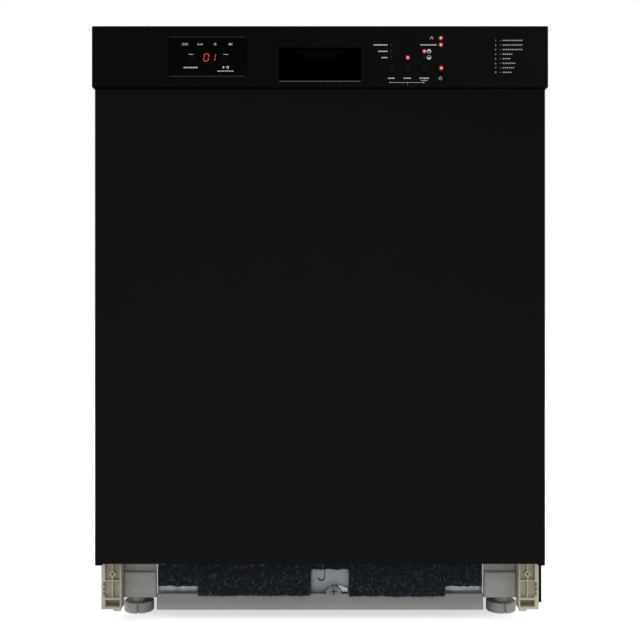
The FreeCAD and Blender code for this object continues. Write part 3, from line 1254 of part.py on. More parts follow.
def push_button(x, drop, radius, face):
    """A push button: a rounded cap, and a plunger that ends just short of the board's switch."""
    z = FASCIA_TOP - drop
    collar = FASCIA_WALL + WINDOW_THICKNESS
    cap = rod_d(x, face - BUTTON_PROUD, collar, z, radius)
    cap = rounded(cap, BUTTON_ROUND, lambda edge: at_depth(edge, face - BUTTON_PROUD))
    plunger = rod_d(x, collar, BOARD_D - BUTTON_TRAVEL - SLIDE, z, PLUNGER_RADIUS)
    return joined(cap, plunger)


def lamp_lens(x, z):
    """A light guide from the fascia's face to the board."""
    return rod_d(x, 0, BOARD_D - SEAT, z, LENS_RADIUS)


def handle_pocket():
    """The liner of the handle pocket, open to the front, with two ears for the lever's pivots."""
    outer = pocket_opening(FASCIA_WALL, FASCIA_WALL + POCKET_DEPTH + POCKET_WALL, POCKET_WALL)
    liner = outer.cut(pocket_opening(FASCIA_WALL, FASCIA_WALL + POCKET_DEPTH, 0))
    half = POCKET_WIDTH / 2
    d, z = lever_axis()
    pins = [side_rod_x(side, half - LEVER_SIDE - POCKET_WALL, half, d, z, LEVER_PIN) for side in (-1, 1)]
    return joined(liner, *pins)


def lever_axis():
    """The pull lever's pivot, as (depth, height)."""
    return LEVER_FACE + LEVER_LENGTH - LEVER_PIN_INSET, FASCIA_TOP - POCKET_DROP - LEVER_TOP - LEVER_PIN_DROP


def pull_lever():
    """The lever along the top of the pocket: a deep front edge and a thin rear with the pivot bores."""
    top = FASCIA_TOP - POCKET_DROP - LEVER_TOP
    half = POCKET_WIDTH / 2 - LEVER_SIDE
    rear = LEVER_FACE + LEVER_LENGTH
    outline = [(LEVER_FACE, top), (LEVER_FACE, top - LEVER_HEIGHT),
               (LEVER_FACE + LEVER_PIN, top - LEVER_HEIGHT), (rear, top - LEVER_REAR_HEIGHT), (rear, top)]
    bar = side_profile(outline, -half, half)
    bar = rounded(bar, EDGE_ROUND, lambda edge: at_depth(edge, LEVER_FACE) and runs_along(edge, V(1, 0, 0)))
    d, z = lever_axis()
    bores = [side_rod_x(side, half - POCKET_WALL - SEAT, half, d, z, LEVER_PIN + RUN) for side in (-1, 1)]
    return bar.cut(bores)


def chassis_back():
    """The depth of the chassis's rear face."""
    return DOOR_INNER - DOOR_SHEET - SEAT


def panel_chassis():
    """The plastic chassis behind the fascia, with the latch housing moulded on its rear wall."""
    half = INNER_X - DOOR_SHEET - SEAT
    back = chassis_back()
    low = DOOR_TOP + FASCIA_GAP + FASCIA_WALL + SEAT
    high = INNER_TOP - DOOR_SHEET - SEAT
    shell = box(-half, half, FASCIA_DEPTH + SEAT, back, low, high)
    shell = shell.cut(box(-half + CHASSIS_WALL, half - CHASSIS_WALL, FASCIA_DEPTH + SEAT, back - CHASSIS_WALL,
                          low + CHASSIS_WALL, high - CHASSIS_WALL))
    latch_back = back - CHASSIS_WALL
    latch_front = latch_back - LATCH_DEPTH
    latch_low = high - LATCH_HEIGHT
    wall = LATCH_WALL
    wide = LATCH_WIDTH / 2
    housing = box(-wide, wide, latch_front, latch_back, latch_low, high)
    housing = housing.cut(box(-wide + wall, wide - wall, latch_front + wall, latch_back, latch_low + wall,
                              high - wall))
    d, z = latch_axis()
    shell = joined(shell, housing, rod_x(-wide + wall, wide - wall, d, z, LATCH_PIN))
    posts = []
    for side in (-1, 1):
        posts.append(side_box(side, POCKET_WIDTH / 2 + POCKET_WALL + SEAT, POCKET_WIDTH / 2 + POCKET_WALL
                              + BOARD_GAP, BOARD_D + BOARD_THICKNESS + SEAT, back - CHASSIS_WALL,
                              low + CHASSIS_WALL, high - CHASSIS_WALL))
    shell = joined(shell, *posts)
    return shell.cut(strike_opening(back - CHASSIS_WALL, back))


def latch_axis():
    """The latch hook's pivot, as (depth, height)."""
    latch_front = chassis_back() - CHASSIS_WALL - LATCH_DEPTH
    latch_low = INNER_TOP - DOOR_SHEET - SEAT - LATCH_HEIGHT
    return latch_front + LATCH_PIN_INSET, latch_low + LATCH_PIN_RISE


def latch_hook():
    """The hook under the strike, on its pivot in the latch housing."""
    d, z = latch_axis()
    half = HOOK_WIDTH / 2
    tip = FRAME_D - STRIKE_REACH + HOOK_TOOTH / 2
    bar = box(-half, half, d, tip + HOOK_TOOTH, z - HOOK_BAR, z + HOOK_BAR)
    tooth = box(-half, half, tip, tip + HOOK_TOOTH, z - HOOK_BAR, strike_z() - HOOK_GAP)
    eye = rod_x(-half, half, d, z, HOOK_EYE)
    return joined(bar, tooth, eye).cut(rod_x(-half, half, d, z, LATCH_PIN + RUN))


def control_board(x0, x1):
    """One circuit board behind the fascia."""
    top = FASCIA_TOP - BOARD_DROP
    return box(x0, x1, BOARD_D, BOARD_D + BOARD_THICKNESS, top - BOARD_HEIGHT, top)


def control_electronics():
    """The two boards, one each side of the pocket, and the display block behind the window."""
    edge = POCKET_WIDTH / 2 + POCKET_WALL + SEAT
    left = control_board(BOARD_LEFT, -edge)
    middle = FASCIA_TOP - DISPLAY_BUTTON_DROP
    display = box(DISPLAY_X0, DISPLAY_X1, FASCIA_WALL + WINDOW_THICKNESS + SEAT, BOARD_D,
                  middle - DISPLAY_HEIGHT / 2, middle + DISPLAY_HEIGHT / 2)
    return [joined(left, display), control_board(edge, BOARD_RIGHT)]


# ---- Dispenser --------------------------------------------------------------------------------------------
def detergent_dispenser():
    """The dispenser in the door liner: a flange, a detergent well and the rinse-aid neck."""
    front = DOOR_INNER - DISPENSER_DEPTH
    face = DOOR_INNER + DISPENSER_FLANGE
    body = box(DISPENSER_X0 + SEAT, DISPENSER_X1 - SEAT, front, DOOR_INNER, DISPENSER_Z0 + SEAT,
               DISPENSER_Z1 - SEAT)
    flange = box(DISPENSER_X0 - DISPENSER_LAP, DISPENSER_X1 + DISPENSER_LAP, DOOR_INNER, face,
                 DISPENSER_Z0 - DISPENSER_LAP, DISPENSER_Z1 + DISPENSER_LAP)
    flange = rounded(flange, CORNER_ROUND, lambda edge: runs_along(edge, V(0, 1, 0)))
    well = box(WELL_X0, WELL_X0 + WELL_WIDTH, face - WELL_DEPTH, face, DISPENSER_Z0 + WELL_MARGIN,
               DISPENSER_Z1 - WELL_MARGIN)
    neck = rod_d(CAP_X, face - CAP_STEM_LENGTH - SEAT, face, dispenser_middle(), CAP_STEM + RUN)
    return joined(body, flange).cut([well, neck])


def dispenser_middle():
    """The height of the dispenser's middle."""
    return (DISPENSER_Z0 + DISPENSER_Z1) / 2


def detergent_lid():
    """The lid over the detergent well: it slides sideways."""
    face = DOOR_INNER + DISPENSER_FLANGE + SEAT
    x0 = WELL_X0 - LID_LAP
    x1 = WELL_X0 + WELL_WIDTH + LID_LAP
    z0 = DISPENSER_Z0 + WELL_MARGIN - LID_LAP
    z1 = DISPENSER_Z1 - WELL_MARGIN + LID_LAP
    lid = box(x0, x1, face, face + LID_THICKNESS, z0, z1)
    lid = rounded(lid, CORNER_ROUND, lambda edge: runs_along(edge, V(0, 1, 0)))
    top = face + LID_THICKNESS
    near = x0 + LID_GRIP_INSET
    grip = box(near, near + LID_GRIP, top, top + LID_GRIP, z0 + WELL_MARGIN, z1 - WELL_MARGIN)
    return joined(lid, grip)


def rinse_aid_cap():
    """The round cap of the rinse-aid neck."""
    face = DOOR_INNER + DISPENSER_FLANGE
    z = dispenser_middle()
    cap = rod_d(CAP_X, face + SEAT, face + SEAT + CAP_THICKNESS, z, CAP_RADIUS)
    stem = rod_d(CAP_X, face - CAP_STEM_LENGTH, face + SEAT, z, CAP_STEM)
    reach = CAP_RADIUS - CAP_GRIP
    top = face + SEAT + CAP_THICKNESS
    grip = box(CAP_X - reach, CAP_X + reach, top, top + CAP_GRIP, z - CAP_GRIP / 2, z + CAP_GRIP / 2)
    return joined(cap, stem, grip)


def write_base():
    """Write the base's nodes."""
    left_edge = -HOUSING_INNER + SEAT
    export("base_tray", base_tray())
    export("front_brackets", front_bracket(-1), front_bracket(1))
    export("leg_housings", leg_housing(-1), leg_housing(1))
    export("front_rail", front_rail())
    export("cross_plate", cross_plate())
    bridge = WINDOW_RIGHT - WINDOW_LEFT - SEAT
    export("fibre_mats", fibre_mat(left_edge, WINDOW_LEFT, MAT_NOTCH_LEFT, True, bridge),
           fibre_mat(WINDOW_RIGHT, -left_edge, MAT_NOTCH_RIGHT, False))
    export("base_screws", base_screw())
    export("right_side_strip", side_strip())
    export("front_left_foot", front_foot(-1))
    export("front_right_foot", front_foot(1))
    export("rear_foot", rear_foot())


def write_cabinet():
    """Write the tub, the sheets round it and the wet parts."""
    export("tub", tub())
    export("tub_front_frame", tub_front_frame())
    export("door_gasket", door_gasket())
    export("tub_insulation", tub_insulation())
    export("side_panels", side_panel(-1), side_panel(1))
    export("top_fixing_brackets", top_fixing_bracket(-1), top_fixing_bracket(1))
    export("rear_cover", rear_cover())
    export("hinge_brackets", hinge_bracket(-1), hinge_bracket(1))
    export("door_springs", door_spring(-1), door_spring(1))
    export("sump", sump())
    export("filter_plate", filter_plate())
    export("filter_cylinder", filter_cylinder())
    export("feed_tube", feed_tube())
    export("lower_spray_arm", spray_arm(SPRAY_Z, HUB_RADIUS + RUN, False))
    export("heater", heater())
    export("circulation_pump", circulation_pump())
    export("drain_pump", drain_pump())
    export("inlet_valve", inlet_valve())
    export("terminal_box", terminal_box())


def write_racks():
    """Write the racks and what runs with them."""
    export("lower_rack", lower_rack())
    export("front_wheels", wheel(-1, FRONT_WHEEL_D), wheel(1, FRONT_WHEEL_D))
    export("rear_wheels", wheel(-1, REAR_WHEEL_D), wheel(1, REAR_WHEEL_D))
    export("cutlery_basket", cutlery_basket())
    export("upper_rack", upper_rack())
    export("middle_rails", middle_rail(-1), middle_rail(1))
    export("fixed_rails", fixed_rail(-1), fixed_rail(1))
    export("rack_manifold", rack_manifold())
    export("upper_spray_arm", spray_arm(upper_arm_z(), HUB_RADIUS + RUN, True))


def write_door():
    """Write the door and what is on it."""
    export("door_outer_panel", door_outer_panel())
    export("door_inner_panel", door_inner_panel())
    export("door_insulation", door_insulation())
    export("hinge_arms", hinge_arm(-1), hinge_arm(1))
    export("control_panel", control_panel())
    export("display_window", display_window())
    export("lamp_lenses", *[lamp_lens(x, z) for x, z in lens_places()])
    export("handle_pocket", handle_pocket())
    export("pull_lever", pull_lever())
    export("panel_chassis", panel_chassis())
    export("latch_hook", latch_hook())
    export("control_electronics", *control_electronics())
    for number, x in enumerate(DISPLAY_BUTTONS, 1):
        export("display_button_%d" % number,
               push_button(x, DISPLAY_BUTTON_DROP, DISPLAY_BUTTON_RADIUS, WINDOW_SINK))
    for number, x in enumerate(PANEL_BUTTONS, 1):
        export("panel_button_%d" % number, push_button(x, PANEL_BUTTON_DROP, PANEL_BUTTON_RADIUS, 0))
    export("detergent_dispenser", detergent_dispenser())
    export("detergent_lid", detergent_lid())
    export("rinse_aid_cap", rinse_aid_cap())


os.makedirs("parts", exist_ok=True)
write_base()
write_cabinet()
write_racks()
write_door()
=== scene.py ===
"""The dressed look of a built-in dishwasher, laid over its packed construction."""
import json
import logging
import math
import random
from dataclasses import dataclass, field
from enum import Enum
from typing import Iterable, Sequence

import bmesh
import bpy
from bpy.types import ID, Material, Mesh, NodeSocket, Object, World
from mathutils import Matrix, Vector, noise

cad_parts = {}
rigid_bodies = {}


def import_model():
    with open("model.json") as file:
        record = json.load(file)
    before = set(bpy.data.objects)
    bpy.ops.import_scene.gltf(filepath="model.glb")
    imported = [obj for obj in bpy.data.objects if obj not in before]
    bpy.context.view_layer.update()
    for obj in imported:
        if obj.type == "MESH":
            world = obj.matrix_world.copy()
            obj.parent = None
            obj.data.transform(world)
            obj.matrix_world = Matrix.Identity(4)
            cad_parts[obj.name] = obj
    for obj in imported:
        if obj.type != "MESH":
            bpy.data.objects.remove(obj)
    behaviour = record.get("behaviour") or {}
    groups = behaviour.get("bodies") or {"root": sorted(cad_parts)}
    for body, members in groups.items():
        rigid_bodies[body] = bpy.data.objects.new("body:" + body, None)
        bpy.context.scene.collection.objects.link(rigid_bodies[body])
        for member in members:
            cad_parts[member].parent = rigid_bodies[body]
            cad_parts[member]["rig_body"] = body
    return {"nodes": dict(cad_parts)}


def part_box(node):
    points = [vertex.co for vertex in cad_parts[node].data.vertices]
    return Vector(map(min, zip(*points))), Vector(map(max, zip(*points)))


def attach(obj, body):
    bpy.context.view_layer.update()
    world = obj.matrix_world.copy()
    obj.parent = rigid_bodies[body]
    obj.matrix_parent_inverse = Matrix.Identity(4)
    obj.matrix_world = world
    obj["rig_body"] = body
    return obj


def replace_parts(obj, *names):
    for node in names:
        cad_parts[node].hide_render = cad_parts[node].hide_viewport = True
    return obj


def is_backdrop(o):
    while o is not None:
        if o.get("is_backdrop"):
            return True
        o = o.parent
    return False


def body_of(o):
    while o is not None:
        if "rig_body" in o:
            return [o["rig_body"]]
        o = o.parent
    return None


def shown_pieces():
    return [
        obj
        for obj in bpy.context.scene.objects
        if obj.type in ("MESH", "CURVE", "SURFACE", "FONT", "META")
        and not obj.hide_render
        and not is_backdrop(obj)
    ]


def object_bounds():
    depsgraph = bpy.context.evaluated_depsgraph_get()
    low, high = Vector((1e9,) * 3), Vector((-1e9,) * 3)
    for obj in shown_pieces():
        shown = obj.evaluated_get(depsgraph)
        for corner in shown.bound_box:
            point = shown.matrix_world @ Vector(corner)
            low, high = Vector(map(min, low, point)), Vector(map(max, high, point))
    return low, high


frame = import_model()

Colour = tuple[float, float, float]
Pair = tuple[float, float]
Link = "Sock | float | tuple"

BLACK = (0.0, 0.0, 0.0)
WHITE = (1.0, 1.0, 1.0)
UP = Vector((0, 0, 1))
BACK = Vector((0, 1, 0))
LOG = logging.getLogger("dishwasher")
MM = 0.001
CAD_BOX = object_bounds()
FACE_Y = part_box("control_panel")[0].y
FASCIA_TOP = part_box("control_panel")[1].z / MM
SHARP = 35.0
ALL_ROUND = 180.0
ROUND = (0.0, 360.0)
PRINT_LIFT = 0.05
PRINT_DEPTH = 0.04


def at(x: float, depth: float, z: float) -> Vector:
    """A point in metres from X, depth behind the fascia's face and height, all in millimetres."""
    return Vector((x * MM, FACE_Y + depth * MM, z * MM))


def depth_of(y: float) -> float:
    """The depth behind the fascia's face, in millimetres, of a Y place in metres."""
    return (y - FACE_Y) / MM


@dataclass(frozen=True)
class Extent:
    """A CAD node's box in millimetres.

    Attributes:
        left: its least X.
        right: its greatest X.
        near: the depth of its front behind the fascia's face.
        far: the depth of its rear.
        foot: the height of its lower side.
        top: the height of its upper side.
    """

    left: float
    right: float
    near: float
    far: float
    foot: float
    top: float

    @property
    def middle(self) -> Pair:
        """X and height of its middle."""
        return (self.left + self.right) / 2, (self.foot + self.top) / 2


def extent(node: str) -> Extent:
    """A CAD node's box."""
    low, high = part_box(node)
    return Extent(low.x / MM, high.x / MM, depth_of(low.y), depth_of(high.y), low.z / MM, high.z / MM)


# ---- Shader maths ----


@dataclass(frozen=True)
class Sock:
    """A shader socket that takes arithmetic; each step adds a Math node.

    Attributes:
        shader: the shader that owns the socket's node.
        socket: the output socket.
    """

    shader: "Shader"
    socket: NodeSocket

    def __add__(self, other: Link) -> "Sock":
        """This plus other."""
        return self.shader.maths("ADD", self, other)

    def __mul__(self, other: Link) -> "Sock":
        """This times other."""
        return self.shader.maths("MULTIPLY", self, other)

    __radd__ = __add__
    __rmul__ = __mul__

    def clamped(self) -> "Sock":
        """This kept between 0 and 1."""
        return self.shader.make("ShaderNodeClamp", {}, {"Value": self})


class Shader:
    """The node tree of a material or a world, with short ways to fill it."""

    def __init__(self, owner: Material | World) -> None:
        """Empties the owner's tree but for its output.

        Args:
            owner: the material or the world.
        """
        owner.use_nodes = True
        self.tree = owner.node_tree
        self.tree.nodes.clear()
        kind = "World" if isinstance(owner, World) else "Material"
        self.output = self.tree.nodes.new(f"ShaderNodeOutput{kind}")

    def make(self, kind: str, settings: dict, sockets: dict, out: int | str = 0) -> Sock:
        """Makes one node.

        Args:
            kind: the node's type name.
            settings: its settings, set before its sockets.
            sockets: values or links, by input name or number.
            out: the output socket to hand back.

        Returns:
            The wrapped output socket.
        """
        node = self.tree.nodes.new(kind)
        for key, value in settings.items():
            setattr(node, key, value)
        for key, value in sockets.items():
            self.feed(node.inputs[key], value)
        return Sock(self, node.outputs[out])

    def feed(self, target: NodeSocket, value: Link) -> None:
        """Links a socket, or sets its own value.

        Args:
            target: the input socket.
            value: a wrapped socket, a number, or a colour or vector.
        """
        if isinstance(value, Sock):
            self.tree.links.new(value.socket, target)
        elif target.type == "RGBA" and len(value) == 3:
            target.default_value = (*value, 1.0)
        else:
            target.default_value = value

    def maths(self, operation: str, first: Link, second: Link) -> Sock:
        """One Math node.

        Args:
            operation: the node's operation.
            first: its first value or link.
            second: its second value or link.

        Returns:
            The result's socket.
        """
        return self.make("ShaderNodeMath", {"operation": operation}, {0: first, 1: second})

    def place(self, stretch: Colour = (1.0, 1.0, 1.0)) -> Sock:
        """Object coordinates, stretched along each axis."""
        source = self.make("ShaderNodeTexCoord", {}, {}, "Object")
        return self.make("ShaderNodeMapping", {}, {"Vector": source, "Scale": stretch})

    def noise(self, scale: float, detail: float = 2.0, where: Sock | None = None, rough: float = 0.5) -> Sock:
        """A noise value between 0 and 1.

        Args:
            scale: cells in a metre.
            detail: how many finer layers it adds.
            where: its coordinates, or None for plain Object coordinates.
            rough: how strong the finer layers are.

        Returns:
            The noise factor.
        """
        return self.make("ShaderNodeTexNoise", {}, {"Vector": where or self.place(), "Scale": scale,
                                                    "Detail": detail, "Roughness": rough})

    def cells(self, scale: float, out: str = "Distance") -> Sock:
        """A Voronoi pattern with so many cells in a metre: its Distance or its Color."""
        return self.make("ShaderNodeTexVoronoi", {}, {"Vector": self.place(), "Scale": scale}, out)

    def mix(self, factor: Link, first: Link, second: Link) -> Sock:
        """A colour between two colours."""
        return self.make("ShaderNodeMix", {"data_type": "RGBA"}, {0: factor, 6: first, 7: second}, 2)

    def along(self, axis: str, start: float, end: float) -> Sock:
        """A ramp along X, Y or Z of the object, from 0 at the start to 1 at the end, in metres."""
        return self.spread(self.make("ShaderNodeSeparateXYZ", {}, {"Vector": self.place()}, axis),
                           (start, 0.0), (end, 1.0))

    def spread(self, value: Sock, low: Pair, high: Pair) -> Sock:
        """A value mapped from one range to another and clamped.

        Args:
            value: the value's socket.
            low: the input value and the output it gives at the low end.
            high: the same at the high end.

        Returns:
            The mapped value.
        """
        return self.make("ShaderNodeMapRange", {}, {"Value": value, "From Min": low[0], "From Max": high[0],
                                                    "To Min": low[1], "To Max": high[1]})

    def bump(self, height: Sock, distance: float, strength: float) -> Sock:
        """A Bump node.

        Args:
            height: the height between 0 and 1.
            distance: the real height of 1, in metres.
            strength: how much of it is used.

        Returns:
            The bent normal.
        """
        return self.make("ShaderNodeBump", {}, {"Height": height, "Distance": distance, "Strength": strength})

    def end(self, shader: Sock) -> None:
        """Links the last shader to the output."""
        self.feed(self.output.inputs["Surface"], shader)

    def surface(self, **sockets: Link) -> None:
        """Ends the material with a Principled shader; its inputs have underscores for spaces."""
        self.end(self.make("ShaderNodeBsdfPrincipled", {}, {key.replace("_", " "): value
                                                            for key, value in sockets.items()}))


# ---- Finishes ----


@dataclass(frozen=True)
class PaintedShading:
    """Painted light and shade: a slow change of tone along one axis that stands in for how the lamps fall.

    Attributes:
        axis: X, Y or Z.
        start: where it starts, in metres.
        end: where it ends, in metres.
        gain: how many times lighter the finish is at the end.
    """

    axis: str
    start: float
    end: float
    gain: float

    def over(self, shader: Shader, colour: Sock, finish: "Finish") -> Sock:
        """The colour with the painted lighter or darker tone mixed in.

        Args:
            shader: the material's shader.
            colour: the colour so far.
            finish: the finish that is painted lighter or darker.

        Returns:
            The faded colour.
        """
        share = shader.along(self.axis, self.start, self.end)
        extra = shader.mix(share, BLACK, finish.tone(self.gain - 1.0))
        return shader.make("ShaderNodeMix", {"data_type": "RGBA", "blend_type": "ADD"},
                           {0: 1.0, 6: colour, 7: extra}, 2)


@dataclass(frozen=True)
class Finish:
    """How a surface looks; each kind of finish lays its own material nodes.

    Attributes:
        colour: its main colour, linear.
    """

    colour: Colour

    def tone(self, factor: float) -> Colour:
        """The main colour made lighter or darker, kept in range."""
        return tuple(min(1.0, channel * factor) for channel in self.colour)

    def lay(self, shader: Shader) -> None:
        """Fills the material's nodes."""
        shader.surface(Base_Color=self.colour)


@dataclass(frozen=True)
class Moulded(Finish):
    """Moulded plastic: fine spark grain, faint flow marks and settled dust.

    Attributes:
        rough: the mean roughness.
        grain: grain cells in a metre.
        relief: the grain's height in metres.
        dirt: how much the mottling darkens.
        specular: the shader's specular level.
        painted_shading: painted light or shade along one axis, if any.
    """

    rough: float = 0.5
    grain: float = 1800.0
    relief: float = 0.00003
    dirt: float = 0.25
    specular: float = 0.4
    painted_shading: PaintedShading | None = None

    def lay(self, shader: Shader) -> None:
        """Fills the material's nodes.

        Args:
            shader: the material's shader.
        """
        cloud = shader.noise(14.0, 4.0)
        speck = shader.noise(260.0, 2.0)
        flow = shader.noise(30.0, 3.0, shader.place((1.0, 1.0, 5.0)))
        dark = shader.spread(cloud * 0.6 + flow * 0.4, (0.35, self.dirt), (0.65, 0.0))
        colour = shader.mix(dark, self.colour, self.tone(0.45))
        colour = shader.mix(shader.spread(speck, (0.62, 0.0), (0.8, 0.35)), colour, self.tone(1.35))
        if self.painted_shading:
            colour = self.painted_shading.over(shader, colour, self)
        rough = shader.spread(cloud, (0.3, self.rough - 0.08), (0.7, self.rough + 0.1))
        fine = shader.cells(self.grain)
        shader.surface(Base_Color=colour, Roughness=rough, Specular_IOR_Level=self.specular,
                       Normal=shader.bump(fine, self.relief, 0.6))


@dataclass(frozen=True)
class CoatedSheet(Finish):
    """Coated sheet steel: slight orange peel, wiped streaks and a low gloss.

    Attributes:
        rough: the mean roughness.
        specular: the shader's specular level.
        peel: orange peel height in metres.
        dust: how many times lighter its dust specks are.
        painted_shading: painted light or shade along one axis, if any.
    """

    rough: float = 0.42
    specular: float = 0.1
    peel: float = 0.000012
    dust: float = 1.8
    painted_shading: PaintedShading | None = None

    def lay(self, shader: Shader) -> None:
        """Fills the material's nodes.

        Args:
            shader: the material's shader.
        """
        cloud = shader.noise(4.5, 5.0, rough=0.6)
        wipe = shader.noise(26.0, 3.0, shader.place((1.0, 1.0, 0.16)))
        rough = shader.spread(cloud * 0.7 + wipe * 0.3, (0.35, self.rough - 0.06), (0.65, self.rough + 0.08))
        patch = shader.spread(cloud, (0.4, 0.0), (0.75, 0.5))
        colour = shader.mix(patch, self.colour, self.tone(1.3))
        dust = shader.spread(shader.noise(900.0, 1.0), (0.70, 0.0), (0.82, 0.25))
        colour = shader.mix(dust, colour, self.tone(self.dust))
        if self.painted_shading:
            colour = self.painted_shading.over(shader, colour, self)
        peel = shader.noise(650.0, 2.0)
        shader.surface(Base_Color=colour, Roughness=rough, Specular_IOR_Level=self.specular,
                       Normal=shader.bump(peel, self.peel, 0.5))


class Grain(Enum):
    """The way a brushed sheet's grain runs."""

    UPRIGHT = (420.0, 420.0, 5.0)
    ACROSS = (5.0, 420.0, 420.0)
    DEEP = (420.0, 5.0, 420.0)


@dataclass(frozen=True)
class BrushedSheet(Finish):
    """Brushed stainless sheet: fine lines, soft smears and dried water marks.

    Attributes:
        grain: the way its lines run.
        rough: the mean roughness.
        spots: how strong the water marks are.
    """

    grain: Grain = Grain.UPRIGHT
    rough: float = 0.3
    spots: float = 0.35

    def lay(self, shader: Shader) -> None:
        """Fills the material's nodes.

        Args:
            shader: the material's shader.
        """
        lines = shader.noise(1.0, 3.0, shader.place(self.grain.value), 0.7)
        smear = shader.noise(7.0, 4.0)
        drops = shader.spread(shader.cells(85.0), (0.10, 1.0), (0.2, 0.0))
        chosen = shader.spread(shader.noise(28.0, 1.0), (0.58, 0.0), (0.66, self.spots))
        mark = drops * chosen
        tone = shader.mix(shader.spread(lines, (0.3, 0.0), (0.7, 1.0)), self.tone(0.82),
                          self.tone(1.12))
        tone = shader.mix(mark, tone, self.tone(1.25))
        rough = shader.spread(lines * 0.6 + smear * 0.4, (0.3, self.rough - 0.08), (0.7, self.rough + 0.12))
        shader.surface(Base_Color=tone, Metallic=1.0, Roughness=rough + mark * 0.2,
                       Normal=shader.bump(lines, 0.00002, 0.5))


@dataclass(frozen=True)
class ZincSheet(Finish):
    """Zinc-coated sheet: crystal spangle, dulled patches and white bloom.

    Attributes:
        spangle: crystals in a metre.
        bloom: how strong the white bloom is.
        dents: the depth of its soft dents in metres.
    """

    spangle: float = 130.0
    bloom: float = 0.3
    dents: float = 0.0002

    def lay(self, shader: Shader) -> None:
        """Fills the material's nodes.

        Args:
            shader: the material's shader.
        """
        crystal = shader.cells(self.spangle, "Color")
        tone = shader.make("ShaderNodeSeparateColor", {}, {"Color": crystal})
        cloud = shader.noise(18.0, 5.0)
        scratch = shader.noise(1.0, 2.0, shader.place((40.0, 900.0, 900.0)), 0.6)
        colour = shader.mix(tone, self.tone(0.82), self.tone(1.12))
        colour = shader.mix(shader.spread(cloud, (0.52, 0.0), (0.7, self.bloom)), colour, (0.6, 0.6, 0.58))
        colour = shader.mix(shader.spread(scratch, (0.66, 0.0), (0.75, 0.5)), colour, self.tone(1.5))
        rough = shader.spread(tone * 0.5 + cloud * 0.5, (0.2, 0.34), (0.8, 0.6))
        shader.surface(Base_Color=colour, Metallic=0.85, Roughness=rough,
                       Normal=shader.bump(cloud, self.dents, 0.3))


@dataclass(frozen=True)
class FibreMass(Finish):
    """A mat of pressed fibre: matt, clumped, with pale flecks and painted shade in the hollows between its
    clumps.

    Attributes:
        fleck: the colour of its pale fibres.
        clump: clumps in a metre.
        share: how much of it is pale.
    """

    fleck: Colour = (0.06, 0.075, 0.09)
    clump: float = 210.0
    share: float = 0.5

    def lay(self, shader: Shader) -> None:
        """Fills the material's nodes.

        Args:
            shader: the material's shader.
        """
        clump = shader.noise(self.clump, 6.0, rough=0.7)
        hair = shader.noise(1.0, 5.0, shader.place((1700.0, 600.0, 420.0)), 0.8)
        cross = shader.noise(1.0, 5.0, shader.place((380.0, 600.0, 1500.0)), 0.8)
        tuft = shader.spread(shader.noise(self.clump * 0.8, 4.0, rough=0.6), (0.5, 0.0), (0.75, self.share))
        pale = shader.spread(hair, (0.55, 0.0), (0.72, self.share))
        pale = pale + shader.spread(cross, (0.56, 0.0), (0.74, self.share)) + tuft
        colour = shader.mix(pale.clamped(), self.colour, self.fleck)
        # painted shade: the clumps' low parts, the hollows of the bump, are darkened
        colour = shader.mix(shader.spread(clump, (0.3, 0.7), (0.55, 0.0)), colour, self.tone(0.3))
        shader.surface(Base_Color=colour, Roughness=0.95, Specular_IOR_Level=0.15, Sheen_Weight=0.15,
                       Normal=shader.bump(clump * 0.7 + hair * 0.3, 0.0016, 0.8))


@dataclass(frozen=True)
class Strand(Finish):
    """Loose fibres, some pale and some dark.

    Attributes:
        dark: the colour of the dark ones.
    """

    dark: Colour = (0.012, 0.014, 0.017)

    def lay(self, shader: Shader) -> None:
        """Fills the material's nodes.

        Args:
            shader: the material's shader.
        """
        pick = shader.noise(150.0, 1.0)
        colour = shader.mix(shader.spread(pick, (0.42, 0.0), (0.6, 1.0)), self.dark, self.colour)
        shader.surface(Base_Color=colour, Roughness=0.7, Specular_IOR_Level=0.25)


@dataclass(frozen=True)
class Gloss(Finish):
    """Smooth glossy plastic with faint smudges.

    Attributes:
        rough: the mean roughness.
        specular: the shader's specular level.
    """

    rough: float = 0.12
    specular: float = 0.3

    def lay(self, shader: Shader) -> None:
        """Fills the material's nodes.

        Args:
            shader: the material's shader.
        """
        smudge = shader.noise(60.0, 4.0)
        patch = shader.spread(smudge, (0.5, 0.0), (0.75, 0.6))
        colour = shader.mix(patch, self.colour, self.tone(1.3))
        rough = shader.spread(smudge, (0.4, self.rough), (0.7, self.rough + 0.12))
        shader.surface(Base_Color=colour, Roughness=rough, Specular_IOR_Level=self.specular,
                       Normal=shader.bump(smudge, 0.00002, 0.2))


@dataclass(frozen=True)
class Glow(Finish):
    """A lit lamp or display stroke, brightest in its middle, or the painted light that spills round a lit
    lamp.

    Attributes:
        strength: the emission strength.
    """

    strength: float = 1.6

    def lay(self, shader: Shader) -> None:
        """Fills the material's nodes.

        Args:
            shader: the material's shader.
        """
        grain = shader.noise(1500.0, 1.0)
        lit = shader.mix(grain, self.tone(0.8), self.colour)
        shader.surface(Base_Color=self.tone(0.4), Roughness=0.3, Emission_Color=lit,
                       Emission_Strength=self.strength)


@dataclass(frozen=True)
class Ink(Finish):
    """Screen-printed ink, slightly uneven."""

    def lay(self, shader: Shader) -> None:
        """Fills the material's nodes.

        Args:
            shader: the material's shader.
        """
        thin = shader.spread(shader.noise(2600.0, 2.0), (0.35, 0.0), (0.7, 1.0))
        colour = shader.mix(thin, self.tone(0.75), self.colour)
        shader.surface(Base_Color=colour, Roughness=0.6, Specular_IOR_Level=0.2)


